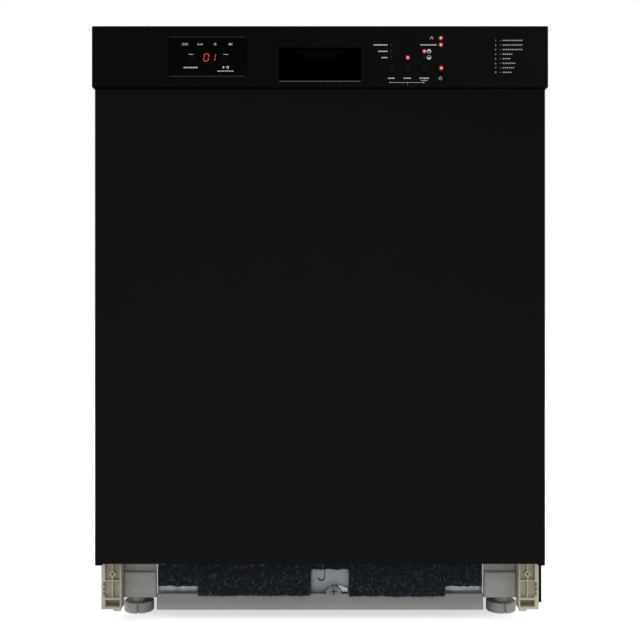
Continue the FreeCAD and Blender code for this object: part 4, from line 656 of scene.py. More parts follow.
@dataclass(frozen=True)
class Rubbery(Finish):
    """Soft black rubber: matt, dusty on its ribs."""

    def lay(self, shader: Shader) -> None:
        """Fills the material's nodes.

        Args:
            shader: the material's shader.
        """
        cloud = shader.noise(40.0, 4.0)
        dust = shader.spread(cloud, (0.45, 0.0), (0.75, 0.6))
        colour = shader.mix(dust, self.colour, self.tone(2.2))
        rough = shader.spread(cloud, (0.3, 0.6), (0.7, 0.85))
        shader.surface(Base_Color=colour, Roughness=rough, Specular_IOR_Level=0.3,
                       Normal=shader.bump(shader.noise(900.0, 2.0), 0.00005, 0.5))


@dataclass(frozen=True)
class BoardFinish(Finish):
    """A circuit board: lacquered green with paler tracks."""

    def lay(self, shader: Shader) -> None:
        """Fills the material's nodes.

        Args:
            shader: the material's shader.
        """
        ways = shader.make("ShaderNodeTexBrick", {"offset": 0.5},
                           {"Vector": shader.place(), "Scale": 90.0, "Mortar Size": 0.05,
                            "Color1": self.colour, "Color2": self.tone(0.8),
                            "Mortar": self.tone(1.9)}, "Color")
        shader.surface(Base_Color=ways, Roughness=shader.spread(shader.noise(120.0), (0.4, 0.25), (0.6, 0.4)))


class Palette(Enum):
    """Every finish of the machine; a material takes its name from here."""

    # painted light: the door grows lighter towards its foot, standing in for the pale floor mirrored in its
    # low gloss
    door = CoatedSheet((0.0017, 0.0017, 0.00175), specular=0.025, painted_shading=PaintedShading("Z", 0.72, 0.12, 2.9))
    # painted light: the fascia grows lighter towards its right end
    fascia = Moulded((0.0011, 0.0011, 0.0012), rough=0.42, grain=2400.0, relief=0.00001,
                     dirt=0.4, specular=0.02, painted_shading=PaintedShading("X", -0.1, 0.3, 2.6))
    window = Gloss((0.0007, 0.0007, 0.0009), specular=0.012)
    # painted highlight: the bright line along the display window's lower edge
    window_painted_highlight = Gloss((0.017, 0.017, 0.018), rough=0.3, specular=0.2)
    key = Gloss((0.0013, 0.0013, 0.0015), rough=0.25, specular=0.03)
    display_key = Gloss((0.0008, 0.0008, 0.0009), rough=0.25, specular=0.016)
    # painted highlights: bright glossy rings and slabs that stand in for glints of the lamps
    glint = Gloss((0.62, 0.63, 0.65), rough=0.25, specular=0.5)
    faint_painted_highlight = Gloss((0.010, 0.010, 0.0105), rough=0.3, specular=0.15)
    lever = Moulded((0.0017, 0.0018, 0.0026), rough=0.45, specular=0.0)
    pocket = Moulded((0.0024, 0.0024, 0.0027), rough=0.38, specular=0.05)
    # painted highlight: the bright line along the handle pocket's lip
    lip = Gloss((0.034, 0.034, 0.036), rough=0.25, specular=0.5)
    ink = Ink((0.52, 0.52, 0.52))
    faint_ink = Ink((0.33, 0.33, 0.33))
    lamp = Glow((1.0, 0.03, 0.03), strength=0.3)
    lamp_core = Glow((1.0, 0.36, 0.35), strength=1.15)
    # painted light: a glowing ring on the fascia round each lit lamp, standing in for its spilled light
    lamp_painted_spill = Glow((0.55, 0.006, 0.008), strength=0.16)
    digit = Glow((1.0, 0.03, 0.03), strength=0.55)
    unlit = Gloss((0.010, 0.0055, 0.0055), rough=0.3, specular=0.1)
    beige = Moulded((0.50, 0.45, 0.35), rough=0.5, dirt=0.5, grain=900.0)
    # painted shade: the leg boxes darken above 69 mm, on the ledge and inner wall that lie in shade under the
    # door
    grey_moulding = Moulded((0.325, 0.312, 0.290), rough=0.5, dirt=0.5, painted_shading=PaintedShading("Z", 0.0675, 0.0690, 0.62))
    # painted light: the rail grows lighter towards its lower edge, nearest the bright floor
    rail = CoatedSheet((0.215, 0.211, 0.201), rough=0.42, specular=0.4, peel=0.00003,
                       painted_shading=PaintedShading("Z", 0.026, 0.016, 1.3))
    foot = Moulded((0.50, 0.495, 0.48), rough=0.5, dirt=0.5)
    zinc = ZincSheet((0.40, 0.41, 0.42))
    # painted light: a lighter copy of the plate's zinc for the faces that catch the light
    painted_light_zinc = ZincSheet((0.60, 0.63, 0.65), spangle=60.0, bloom=0.3, dents=0.00008)
    plate = ZincSheet((0.30, 0.317, 0.335), spangle=60.0, bloom=0.12, dents=0.00008)
    mat = FibreMass((0.005, 0.0068, 0.0086), fleck=(0.046, 0.062, 0.077), share=0.6)
    strand = Strand((0.085, 0.112, 0.138))
    pale_strand = Strand((0.30, 0.345, 0.385), dark=(0.06, 0.075, 0.09))
    strip = Moulded((0.0035, 0.0035, 0.0033), rough=0.45, specular=0.05)
    screw = CoatedSheet((0.20, 0.197, 0.188), rough=0.4, specular=0.4, peel=0.00002)
    stainless_up = BrushedSheet((0.56, 0.565, 0.57))
    stainless_across = BrushedSheet((0.56, 0.565, 0.57), grain=Grain.ACROSS)
    rubber = Rubbery((0.022, 0.022, 0.023))
    felt = FibreMass((0.085, 0.085, 0.09), fleck=(0.22, 0.22, 0.23), clump=150.0, share=0.6)
    spring = BrushedSheet((0.30, 0.30, 0.31), rough=0.35, spots=0.0)
    grey = Moulded((0.21, 0.22, 0.235), rough=0.42, dirt=0.2)
    white = Moulded((0.62, 0.62, 0.60), rough=0.4, dirt=0.2)
    black = Moulded((0.028, 0.028, 0.03), rough=0.5)
    tray = Moulded((0.045, 0.047, 0.05), rough=0.55, dirt=0.4)
    heater = BrushedSheet((0.30, 0.27, 0.24), rough=0.35, spots=0.0)
    wire = Moulded((0.33, 0.345, 0.37), rough=0.33, grain=700.0, relief=0.00004, dirt=0.15)
    bright_rail = BrushedSheet((0.60, 0.61, 0.62), grain=Grain.DEEP, rough=0.25, spots=0.1)
    board = BoardFinish((0.015, 0.13, 0.05))
    chip = Moulded((0.02, 0.02, 0.022), rough=0.4)

    def material(self) -> Material:
        """The finish's material, made the first time that it is asked for.

        Returns:
            The material.
        """
        name = f"finish_{self.name}"
        found = bpy.data.materials.get(name)
        if not found:
            found = bpy.data.materials.new(name)
            self.value.lay(Shader(found))
        return found


# ---- Mesh making ----


def checked_out(piece: Object) -> Mesh:
    """The piece's evaluated mesh, as a plain mesh of its own.

    Args:
        piece: the piece, with its modifiers live.

    Returns:
        The new mesh.
    """
    graph = bpy.context.evaluated_depsgraph_get()
    graph.update()
    return bpy.data.meshes.new_from_object(piece.evaluated_get(graph), preserve_all_data_layers=True,
                                           depsgraph=graph)


def settled(piece: Object) -> Object:
    """Applies every modifier on a piece by swapping in its evaluated mesh.

    Args:
        piece: the piece.

    Returns:
        The piece, with no modifier left.
    """
    mesh = checked_out(piece)
    piece.modifiers.clear()
    piece.data = mesh
    return piece


def linked(name: str, data: ID) -> Object:
    """A new object for a mesh, a curve, a camera or a lamp, in the scene and at the origin.

    Args:
        name: the object's name.
        data: what it shows.

    Returns:
        The object.
    """
    piece = bpy.data.objects.new(name, data)
    bpy.context.scene.collection.objects.link(piece)
    return piece


def opened(mesh: Mesh) -> bmesh.types.BMesh:
    """A mesh under construction that starts as a copy of a plain mesh.

    Args:
        mesh: the plain mesh.

    Returns:
        The mesh under construction.
    """
    build = bmesh.new()
    build.from_mesh(mesh)
    return build


def ended(build: bmesh.types.BMesh, name: str) -> Object:
    """Ends a mesh under construction as a new object.

    Args:
        build: the mesh under construction.
        name: the object's name.

    Returns:
        The object, at the origin.
    """
    mesh = bpy.data.meshes.new(name)
    build.to_mesh(mesh)
    build.free()
    return linked(name, mesh)


def finished(piece: Object, finish: Palette, body: str) -> Object:
    """Gives a piece its finish and its body.

    Args:
        piece: the piece, in place.
        finish: its finish.
        body: the CAD body that it rides on.

    Returns:
        The piece.
    """
    if not piece.data.materials:
        piece.data.materials.append(finish.material())
    for index in range(len(piece.data.materials)):
        piece.data.materials[index] = finish.material()
    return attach(piece, body)


def turns(arc: Pair, steps: int) -> list[float]:
    """The angles, in radians, that part an arc in degrees into even steps, with both its ends."""
    span = math.radians(arc[1] - arc[0]) / steps
    return [math.radians(arc[0]) + span * i for i in range(steps + 1)]


class Shape:
    """A mesh under construction, in millimetres; depth runs back from the fascia's face."""

    def __init__(self) -> None:
        """Starts an empty mesh."""
        self.mesh = bmesh.new()

    def slab(self, x: Pair, depth: Pair, z: Pair) -> "Shape":
        """Adds a block.

        Args:
            x: its two X places.
            depth: its two depths.
            z: its two heights.

        Returns:
            The shape itself.
        """
        low, high = at(x[0], depth[0], z[0]), at(x[1], depth[1], z[1])
        made = bmesh.ops.create_cube(self.mesh, size=1.0)["verts"]
        middle, size = (low + high) / 2, high - low
        for vertex in made:
            vertex.co = Vector([middle[i] + vertex.co[i] * size[i] for i in range(3)])
        return self

    def prism(self, outline: Sequence[Pair], depth: Pair) -> "Shape":
        """Adds a prism whose outline lies in the front plane.

        Args:
            outline: its X and Z points, counter-clockwise from the front.
            depth: its front and back depths.

        Returns:
            The shape itself.
        """
        front = [self.mesh.verts.new(at(x, depth[0], z)) for x, z in outline]
        back = [self.mesh.verts.new(at(x, depth[1], z)) for x, z in outline]
        self.mesh.faces.new(front)
        self.mesh.faces.new(back[::-1])
        count = len(outline)
        for i in range(count):
            j = (i + 1) % count
            self.mesh.faces.new((front[j], front[i], back[i], back[j]))
        return self

    def pair(self, x: Pair, depth: Pair, z: Pair) -> "Shape":
        """Adds a block at the left and its mirror image at the right.

        Args:
            x: how far its two sides lie from the middle.
            depth: its two depths.
            z: its two heights.

        Returns:
            The shape itself.
        """
        for side in (-1, 1):
            near, far = sorted((side * x[0], side * x[1]))
            self.slab((near, far), depth, z)
        return self

    def ring(self, centre: Pair, radii: Pair, depth: Pair, arc: Pair, steps: int) -> "Shape":
        """Adds a flat ring or arc in the front plane.

        Args:
            centre: its X and Z.
            radii: its inner and outer radius.
            depth: its front and back depths.
            arc: its first and last angle, in degrees.
            steps: how many straight parts it has.

        Returns:
            The shape itself.
        """
        spokes = [(math.cos(angle), math.sin(angle)) for angle in turns(arc, steps)]
        inner, outer = ([(centre[0] + radius * c, centre[1] + radius * s) for c, s in spokes]
                        for radius in radii)
        for i in range(steps):
            self.prism([inner[i], outer[i], outer[i + 1], inner[i + 1]], depth)
        return self

    def disc(self, centre: Pair, radius: float, depth: Pair, arc: Pair, steps: int) -> "Shape":
        """Adds a disc or a part of one in the front plane.

        Args:
            centre: its X and Z.
            radius: its radius.
            depth: its front and back depths.
            arc: its first and last angle, in degrees.
            steps: how many straight parts its rim has.

        Returns:
            The shape itself.
        """
        angles = turns(arc, steps)[:steps if arc[1] - arc[0] >= 360.0 else steps + 1]
        return self.prism([(centre[0] + radius * math.cos(angle), centre[1] + radius * math.sin(angle))
                           for angle in angles], depth)

    def turned(self, centre: Vector, axis: Vector, profile: Sequence[Pair], steps: int = 32) -> "Shape":
        """Adds a closed turned form.

        Args:
            centre: the point that heights count from, in metres.
            axis: the axis that it turns about.
            profile: its radius and height pairs in millimetres, from one pole to the other.
            steps: how many faces go round.

        Returns:
            The shape itself.
        """
        turn = UP.rotation_difference(axis).to_matrix()
        rings = []
        for radius, height in profile:
            angles = turns(ROUND, steps)[:steps] if radius > 0.0 else [0.0]
            rings.append([self.mesh.verts.new(centre + turn @ Vector((
                radius * MM * math.cos(angle), radius * MM * math.sin(angle), height * MM)))
                for angle in angles])
        for lower, upper in zip(rings, rings[1:]):
            for i in range(steps):
                j = (i + 1) % steps
                corners = [row[k % len(row)] for row, k in ((lower, i), (lower, j), (upper, j), (upper, i))]
                self.mesh.faces.new(list(dict.fromkeys(corners)))
        for end in (rings[0], rings[-1]):
            if len(end) > 1:
                self.mesh.faces.new(end)
        return self

    def piece(self, name: str, ease: float = 0.0) -> Object:
        """Ends the mesh and makes its object.

        Args:
            name: the object's name.
            ease: the width of its eased edges in millimetres, or 0.

        Returns:
            The object, at the origin.
        """
        bmesh.ops.remove_doubles(self.mesh, verts=self.mesh.verts, dist=1e-7)
        bmesh.ops.recalc_face_normals(self.mesh, faces=self.mesh.faces)
        made = ended(self.mesh, name)
        return eased_edges(made, ease, SHARP) if ease else smoothed(made, SHARP)


def smoothed(piece: Object, angle: float) -> Object:
    """Shades a piece smooth but for its edges sharper than an angle in degrees.

    Args:
        piece: the piece.
        angle: the angle in degrees.

    Returns:
        The piece.
    """
    piece.data.polygons.foreach_set("use_smooth", [True] * len(piece.data.polygons))
    piece.data.set_sharp_from_angle(angle=math.radians(angle))
    return piece


def eased_edges(piece: Object, width: float, angle: float) -> Object:
    """Rounds the sharp edges of a piece.

    Args:
        piece: the piece.
        width: the rounding's width in millimetres.
        angle: edges sharper than this many degrees are rounded.

    Returns:
        The piece, with the rounding in its mesh.
    """
    smoothed(piece, ALL_ROUND)
    bevel = piece.modifiers.new("ease", "BEVEL")
    bevel.width = width * MM
    bevel.segments = 2
    bevel.limit_method = "ANGLE"
    bevel.angle_limit = math.radians(angle)
    bevel.use_clamp_overlap = False
    even = piece.modifiers.new("even", "WEIGHTED_NORMAL")
    even.keep_sharp = True
    return settled(piece)


def eased_node(node: str, finish: Palette, width: float, angle: float = SHARP) -> Object:
    """A CAD node's own shape with its edges eased, shown in its place.

    Args:
        node: the CAD node.
        finish: its finish.
        width: the rounding's width in millimetres.
        angle: edges sharper than this many degrees are rounded.

    Returns:
        The piece, on the node's body.
    """
    source = frame["nodes"][node]
    build = opened(source.data)
    bmesh.ops.remove_doubles(build, verts=build.verts, dist=2e-6)
    bmesh.ops.dissolve_limit(build, angle_limit=math.radians(0.6), verts=build.verts, edges=build.edges)
    piece = eased_edges(ended(build, f"{node}_eased"), width, angle)
    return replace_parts(finished(piece, finish, body_of(source)[0]), node)


def eased_nodes(finishes: dict[str, tuple[Palette, float]]) -> None:
    """Eases and dresses several CAD nodes, each with its finish and its rounding's width in millimetres."""
    for node, (finish, width) in finishes.items():
        eased_node(node, finish, width)


def dressed(node: str, finish: Palette) -> Object:
    """Gives a CAD node a finish and leaves its shape alone.

    Args:
        node: the CAD node.
        finish: its finish.

    Returns:
        The node's object.
    """
    piece = frame["nodes"][node]
    for slot in piece.material_slots:
        slot.material = finish.material()
    return piece


# ---- Geometry node trees ----


class Rule:
    """A Geometry Nodes tree that makes one kind of repeated or swept form."""

    def __init__(self, name: str) -> None:
        """Starts an empty tree with a geometry input and output.

        Args:
            name: the tree's name.
        """
        self.tree = bpy.data.node_groups.new(name, "GeometryNodeTree")
        self.tree.interface.new_socket("Geometry", in_out="INPUT", socket_type="NodeSocketGeometry")
        self.tree.interface.new_socket("Geometry", in_out="OUTPUT", socket_type="NodeSocketGeometry")
        self.entry = self.tree.nodes.new("NodeGroupInput")
        self.exit = self.tree.nodes.new("NodeGroupOutput")
        self.names: dict[str, str] = {}

    def size(self, name: str, kind: str = "Float") -> NodeSocket:
        """Adds a named input.

        Args:
            name: the input's name.
            kind: Float, Int, Vector, Object or Material.

        Returns:
            Its socket inside the tree.
        """
        socket = self.tree.interface.new_socket(name, in_out="INPUT", socket_type=f"NodeSocket{kind}")
        self.names[name] = socket.identifier
        return self.entry.outputs[name]

    def node(self, kind: str, settings: dict, sockets: dict, out: int | str = 0) -> NodeSocket:
        """Makes one node.

        Args:
            kind: the node's type name.
            settings: its settings, set first.
            sockets: values or links, by input name or number.
            out: the output socket to hand back.

        Returns:
            The output socket.
        """
        made = self.tree.nodes.new(kind)
        for key, value in settings.items():
            setattr(made, key, value)
        for key, value in sockets.items():
            if isinstance(value, NodeSocket):
                self.tree.links.new(value, made.inputs[key])
            else:
                made.inputs[key].default_value = value
        return made.outputs[out]

    def close(self, geometry: NodeSocket, finish: NodeSocket) -> None:
        """Ends the tree with Realize Instances and Set Material.

        Args:
            geometry: the geometry so far.
            finish: the material input.
        """
        real = self.node("GeometryNodeRealizeInstances", {}, {"Geometry": geometry})
        last = self.node("GeometryNodeSetMaterial", {}, {"Geometry": real, "Material": finish})
        self.tree.links.new(last, self.exit.inputs[0])

    def grow(self, piece: Object, sizes: dict) -> Object:
        """Runs the tree on a piece and keeps the plain mesh.

        Args:
            piece: the piece whose mesh the tree starts from.
            sizes: the tree's inputs, by name.

        Returns:
            The piece, with the result as its mesh.
        """
        modifier = piece.modifiers.new("rule", "NODES")
        modifier.node_group = self.tree
        for name, value in sizes.items():
            modifier[self.names[name]] = value
        settled(piece)
        material = sizes.get("Finish")
        if material:
            piece.data.materials.clear()
            piece.data.materials.append(material)
        return piece


def wire_rule() -> Rule:
    """A tree that turns each line of edges into a round wire with rounded bends.

    Returns:
        The tree.
    """
    rule = Rule("rule_wire")
    radius, bend = rule.size("Radius"), rule.size("Bend")
    sides, material = rule.size("Sides", "Int"), rule.size("Finish", "Material")
    line = rule.node("GeometryNodeMeshToCurve", {}, {"Mesh": rule.entry.outputs[0]})
    fillet = rule.node("GeometryNodeFilletCurve", {"mode": "POLY"},
                       {"Curve": line, "Count": 5, "Radius": bend, "Limit Radius": True})
    profile = rule.node("GeometryNodeCurvePrimitiveCircle", {}, {"Resolution": sides, "Radius": radius})
    swept = rule.node("GeometryNodeCurveToMesh", {},
                      {"Curve": fillet, "Profile Curve": profile, "Fill Caps": True})
    smooth = rule.node("GeometryNodeSetShadeSmooth", {}, {"Geometry": swept, "Shade Smooth": True})
    rule.close(smooth, material)
    return rule


def grid_rule() -> Rule:
    """A tree that repeats one small object over a flat grid.

    Returns:
        The tree.
    """
    rule = Rule("rule_grid")
    columns, rows = rule.size("Columns", "Int"), rule.size("Rows", "Int")
    wide, high = rule.size("Width"), rule.size("Height")
    centre, turn = rule.size("Centre", "Vector"), rule.size("Turn", "Vector")
    item, material = rule.size("Item", "Object"), rule.size("Finish", "Material")
    net = rule.node("GeometryNodeMeshGrid", {},
                    {"Size X": wide, "Size Y": high, "Vertices X": columns, "Vertices Y": rows})
    placed = rule.node("GeometryNodeTransform", {},
                       {"Geometry": net, "Translation": centre, "Rotation": turn})
    small = rule.node("GeometryNodeObjectInfo", {}, {"Object": item, "As Instance": True}, "Geometry")
    spread = rule.node("GeometryNodeInstanceOnPoints", {}, {"Points": placed, "Instance": small})
    rule.close(spread, material)
    return rule


def fibre_rule() -> Rule:
    """A tree that grows loose bent fibres on a surface.

    Returns:
        The tree.
    """
    rule = Rule("rule_fibre")
    density, seed = rule.size("Density"), rule.size("Seed", "Int")
    length, radius = rule.size("Length"), rule.size("Radius")
    droop, material = rule.size("Droop"), rule.size("Finish", "Material")
    points = rule.node("GeometryNodeDistributePointsOnFaces", {},
                       {"Mesh": rule.entry.outputs[0], "Density": density, "Seed": seed})
    bow = rule.node("GeometryNodeCurveQuadraticBezier", {},
                    {"Resolution": 6, "Start": (0.0, 0.0, 0.0), "Middle": (0.25, 0.18, 0.5),
                     "End": (-0.12, -0.1, 1.0)})
    turn = rule.node("FunctionNodeRandomValue", {"data_type": "FLOAT_VECTOR"},
                     {"Min": (0.9, -0.6, -3.14), "Max": (2.6, 0.6, 3.14), "Seed": seed})
    scale = rule.node("FunctionNodeRandomValue", {"data_type": "FLOAT"}, {2: 0.35, 3: 1.0, "Seed": seed}, 1)
    sized = rule.node("ShaderNodeMath", {"operation": "MULTIPLY"}, {0: scale, 1: length})
    spread = rule.node("GeometryNodeInstanceOnPoints", {},
                       {"Points": points, "Instance": bow, "Rotation": turn, "Scale": sized})
    real = rule.node("GeometryNodeRealizeInstances", {}, {"Geometry": spread})
    share = rule.node("GeometryNodeSplineParameter", {}, {}, "Factor")
    bent = rule.node("ShaderNodeMath", {"operation": "MULTIPLY"}, {0: share, 1: droop})
    down = rule.node("ShaderNodeCombineXYZ", {}, {"Z": bent})
    hung = rule.node("GeometryNodeSetPosition", {}, {"Geometry": real, "Offset": down})
    profile = rule.node("GeometryNodeCurvePrimitiveCircle", {}, {"Resolution": 3, "Radius": radius})
    swept = rule.node("GeometryNodeCurveToMesh", {},
                      {"Curve": hung, "Profile Curve": profile, "Fill Caps": True})
    rule.close(swept, material)
    return rule


class Rules:
    """The three trees, made once."""

    wire = wire_rule()
    grid = grid_rule()
    fibre = fibre_rule()


def wires(name: str, lines: Iterable[Sequence[Vector]], radius: float, finish: Palette, body: str,
          bend: float, sides: int) -> Object:
    """Round wires along lines.

    Args:
        name: the piece's name.
        lines: each wire's points, in metres.
        radius: the wire's radius in millimetres.
        finish: its finish.
        body: the CAD body that it rides on.
        bend: the radius of its bends in millimetres.
        sides: how many faces go round it.

    Returns:
        The piece.
    """
    build = bmesh.new()
    for line in lines:
        points = [build.verts.new(point) for point in line]
        for first, second in zip(points, points[1:]):
            build.edges.new((first, second))
    piece = Rules.wire.grow(ended(build, name), {"Radius": radius * MM, "Bend": bend * MM, "Sides": sides,
                                                 "Finish": finish.material()})
    return finished(outward(piece), finish, body)


def outward(piece: Object) -> Object:
    """Turns every face of a closed piece outwards.

    Args:
        piece: the closed piece.

    Returns:
        The piece.
    """
    build = opened(piece.data)
    bmesh.ops.recalc_face_normals(build, faces=build.faces)
    build.to_mesh(piece.data)
    build.free()
    return piece


def repeated(name: str, item: Object, count: tuple[int, int], span: Pair, centre: Vector,
             finish: Palette, body: str, turn: Vector = Vector((math.pi / 2, 0.0, 0.0))) -> Object:
    """One small object repeated over a grid.

    Args:
        name: the piece's name.
        item: the small object, made round the origin; it is taken away afterwards.
        count: columns and rows.
        span: the grid's width and height in millimetres, from first to last middle.
        centre: the grid's centre, in metres.
        finish: its finish.
        body: the CAD body that it rides on.
        turn: the grid's turn, in radians; the default stands it in the front plane.

    Returns:
        The piece.
    """
    piece = Rules.grid.grow(linked(name, bpy.data.meshes.new(name)), {
        "Columns": count[0], "Rows": count[1], "Width": span[0] * MM, "Height": span[1] * MM,
        "Centre": tuple(centre), "Turn": tuple(turn), "Item": item, "Finish": finish.material()})
    bpy.data.objects.remove(item)
    return finished(smoothed(piece, SHARP), finish, body)


# ---- Studio ----


@dataclass
class Studio:
    """The camera, the lamps, the pale floor and the world.

    Attributes:
        camera_back: how far the camera stands from the fascia's face, in metres.
        camera_height: its height in metres.
        lens: its lens in millimetres.
        shift: its upward shift, as a share of the picture's width.
        room: the strength of the world's light.
        floor_lift: how much the floor glows where the camera sees it.
    """

    camera_back: float = 1.3
    camera_height: float = 0.4259
    lens: float = 55.85
    shift: float = -0.0156
    room: float = 0.62
    floor_lift: float = 0.62

    def build(self) -> None:
        """Makes the whole studio."""
        self.camera()
        self.lamp("lamp_high_left", Vector((-1.5, -2.3, 2.5)), 1.8, 34.0)
        self.lamp("lamp_right", Vector((2.1, -1.8, 1.6)), 1.6, 16.0)
        self.lamp("lamp_behind", Vector((0.8, 2.4, 2.2)), 1.8, 26.0)
        self.lamp("lamp_front_low", Vector((0.0, -2.6, 0.5)), 1.5, 10.0)
        self.floor()
        self.world()

    def camera(self) -> None:
        """Makes the level camera in front of the door."""
        data = bpy.data.cameras.new("front_camera")
        data.lens = self.lens
        data.sensor_width = 36.0
        data.shift_y = self.shift
        camera = linked("front_camera", data)
        camera.location = Vector((0.0, FACE_Y - self.camera_back, self.camera_height))
        camera.rotation_euler = (math.pi / 2, 0.0, 0.0)
        bpy.context.scene.camera = camera

    def lamp(self, name: str, place: Vector, size: float, watts: float) -> None:
        """Makes one soft lamp that faces the machine.

        Args:
            name: the lamp's name.
            place: where it hangs, in metres.
            size: its side in metres.
            watts: its power.
        """
        data = bpy.data.lights.new(name, "AREA")
        data.size = size
        data.energy = watts
        lamp = linked(name, data)
        lamp.location = place
        lamp.rotation_euler = (Vector((0.0, 0.0, 0.4)) - place).to_track_quat("-Z", "Y").to_euler()

    def floor(self) -> None:
        """Makes the pale floor, white to the camera where no shadow falls."""
        build = bmesh.new()
        bmesh.ops.create_grid(build, x_segments=1, y_segments=1, size=40.0)
        floor = ended(build, "studio_floor")
        material = bpy.data.materials.new("finish_studio_floor")
        floor.data.materials.append(material)
        shader = Shader(material)
        tone = shader.mix(shader.spread(shader.noise(3.0), (0.3, 0.86), (0.7, 0.9)), BLACK, WHITE)
        diffuse = shader.make("ShaderNodeBsdfDiffuse", {}, {"Color": tone})
        seen = shader.make("ShaderNodeLightPath", {}, {}, "Is Camera Ray")
        lift = shader.make("ShaderNodeEmission", {}, {"Color": WHITE, "Strength": seen * self.floor_lift})
        shader.end(shader.make("ShaderNodeAddShader", {}, {0: diffuse, 1: lift}))
        floor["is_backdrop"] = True

    def world(self) -> None:
        """Makes the world: white where it is seen or mirrored, and softer as a light."""
        world = bpy.data.worlds.new("studio_world")
        bpy.context.scene.world = world
        shader = Shader(world)
        camera, glossy, clear = (shader.make("ShaderNodeLightPath", {}, {}, f"Is {kind} Ray")
                                 for kind in ("Camera", "Glossy", "Transmission"))
        white = shader.maths("MAXIMUM", shader.maths("MAXIMUM", camera, glossy), clear)
        light = shader.make("ShaderNodeBackground", {}, {"Color": (0.97, 0.985, 1.0), "Strength": self.room})
        seen = shader.make("ShaderNodeBackground", {}, {"Color": WHITE, "Strength": 1.0})
        shader.end(shader.make("ShaderNodeMixShader", {}, {0: white, 1: light, 2: seen}))


# ---- Control panel ----


@dataclass
class Print:
    """Generic marks printed on the fascia: bars, numerals and pictograms.

    Attributes:
        face: the depth of the surface that they lie on, in millimetres.
        shape: the mesh that they go into.
    """

    face: float = 0.0
    shape: Shape = field(default_factory=Shape)

    @property
    def layer(self) -> Pair:
        """The front and back depth of the ink."""
        front = self.face - PRINT_LIFT
        return (front, front + PRINT_DEPTH)

    def bar(self, x: Pair, drop: float, height: float = 1.5) -> None:
        """Prints a plain bar with narrow breaks, as a word's place-holder.

        Args:
            x: its two X places.
            drop: how far its middle lies under the fascia's top.
            height: its height.
        """
        z = FASCIA_TOP - drop
        breaks = max(1, round((x[1] - x[0]) / 2.5))
        step = (x[1] - x[0]) / breaks
        for i in range(breaks):
            left = x[0] + step * i
            self.shape.slab((left, left + step - 0.8), self.layer, (z - height / 2, z + height / 2))

    def line(self, start: Pair, end: Pair, width: float) -> None:
        """Prints a straight stroke.

        Args:
            start: its first X and drop.
            end: its last X and drop.
            width: its width.
        """
        a = Vector((start[0], FASCIA_TOP - start[1]))
        b = Vector((end[0], FASCIA_TOP - end[1]))
        side = (b - a).orthogonal().normalized() * width / 2
        self.shape.prism([tuple(a + side), tuple(b + side), tuple(b - side), tuple(a - side)], self.layer)

    def ring(self, x: float, drop: float, radius: float, width: float, arc: Pair = ROUND) -> None:
        """Prints a ring or an arc."""
        self.shape.ring((x, FASCIA_TOP - drop), (radius - width, radius), self.layer, arc, 24)

    def dot(self, x: float, drop: float, radius: float, arc: Pair = ROUND) -> None:
        """Prints a disc or a part of one."""
        self.shape.disc((x, FASCIA_TOP - drop), radius, self.layer, arc, 24)

    def waves(self, x: float, drop: float) -> None:
        """Prints two short waves, for washing.

        Args:
            x: X of their middle.
            drop: how far it lies under the fascia's top.
        """
        for row in (-0.9, 0.9):
            for i in range(4):
                rise = 0.5 if i % 2 else -0.5
                left = x - 4.0 + i * 2.0
                self.line((left, drop + row - rise), (left + 2.0, drop + row + rise), 0.45)

    def drops(self, x: float, drop: float) -> None:
        """Prints three drops, for rinsing.

        Args:
            x: X of their middle.
            drop: how far it lies under the fascia's top.
        """
        for i in (-1, 0, 1):
            self.dot(x + i * 2.7, drop + 0.4, 0.75)
            self.line((x + i * 2.7, drop - 1.4), (x + i * 2.7, drop), 0.5)

    def sun(self, x: float, drop: float) -> None:
        """Prints a small sun, for drying.

        Args:
            x: X of its middle.
            drop: how far it lies under the fascia's top.
        """
        self.dot(x, drop, 0.8)
        for i in range(8):
            c, d = math.cos(i * math.pi / 4), math.sin(i * math.pi / 4)
            self.line((x + c * 1.3, drop + d * 1.3), (x + c * 2.1, drop + d * 2.1), 0.35)

    def square(self, x: float, drop: float) -> None:
        """Prints a filled square between two upright ticks, for the end.

        Args:
            x: X of its middle.
            drop: how far it lies under the fascia's top.
        """
        self.shape.slab((x - 1.1, x + 1.1), self.layer, (FASCIA_TOP - drop - 1.1, FASCIA_TOP - drop + 1.1))
        for side in (-1, 1):
            self.line((x + side * 2.2, drop - 1.7), (x + side * 2.2, drop + 1.7), 0.4)

    def arrow(self, x: float, drop: float, way: int) -> None:
        """Prints a small arrow head that points left (-1) or right (1).

        Args:
            x: X of its base.
            drop: how far it lies under the fascia's top.
            way: the way that it points.
        """
        z = FASCIA_TOP - drop
        points = [(x + way * 1.9, z), (x, z + 0.9), (x, z - 0.9)]
        self.shape.prism(points if way < 0 else points[::-1], self.layer)

    def done(self, name: str, finish: Palette) -> Object:
        """Ends the print as one piece on the door."""
        return finished(self.shape.piece(name), finish, "door")


def numeral(text: str, place: Vector, height: float) -> Object:
    """A numeral as flat as print, on its way into a larger piece.

    Args:
        text: the numeral.
        place: the middle of its left edge, in metres.
        height: its height in millimetres.

    Returns:
        The numeral's object, with its place in its mesh.
    """
    name = f"numeral_{text}"
    curve = bpy.data.curves.new(name, "FONT")
    curve.body = text
    curve.size = height * 1.38 * MM
    curve.extrude = PRINT_DEPTH * MM / 2
    curve.resolution_u = 3
    writer = linked(name, curve)
    mesh = checked_out(writer)
    bpy.data.objects.remove(writer)
    mesh.transform(Matrix.Rotation(math.pi / 2, 4, "X"))
    mesh.transform(Matrix.Translation(place - Vector((0.0, 0.0, height * MM / 2))))
    mesh.materials.clear()
    return linked(name, mesh)


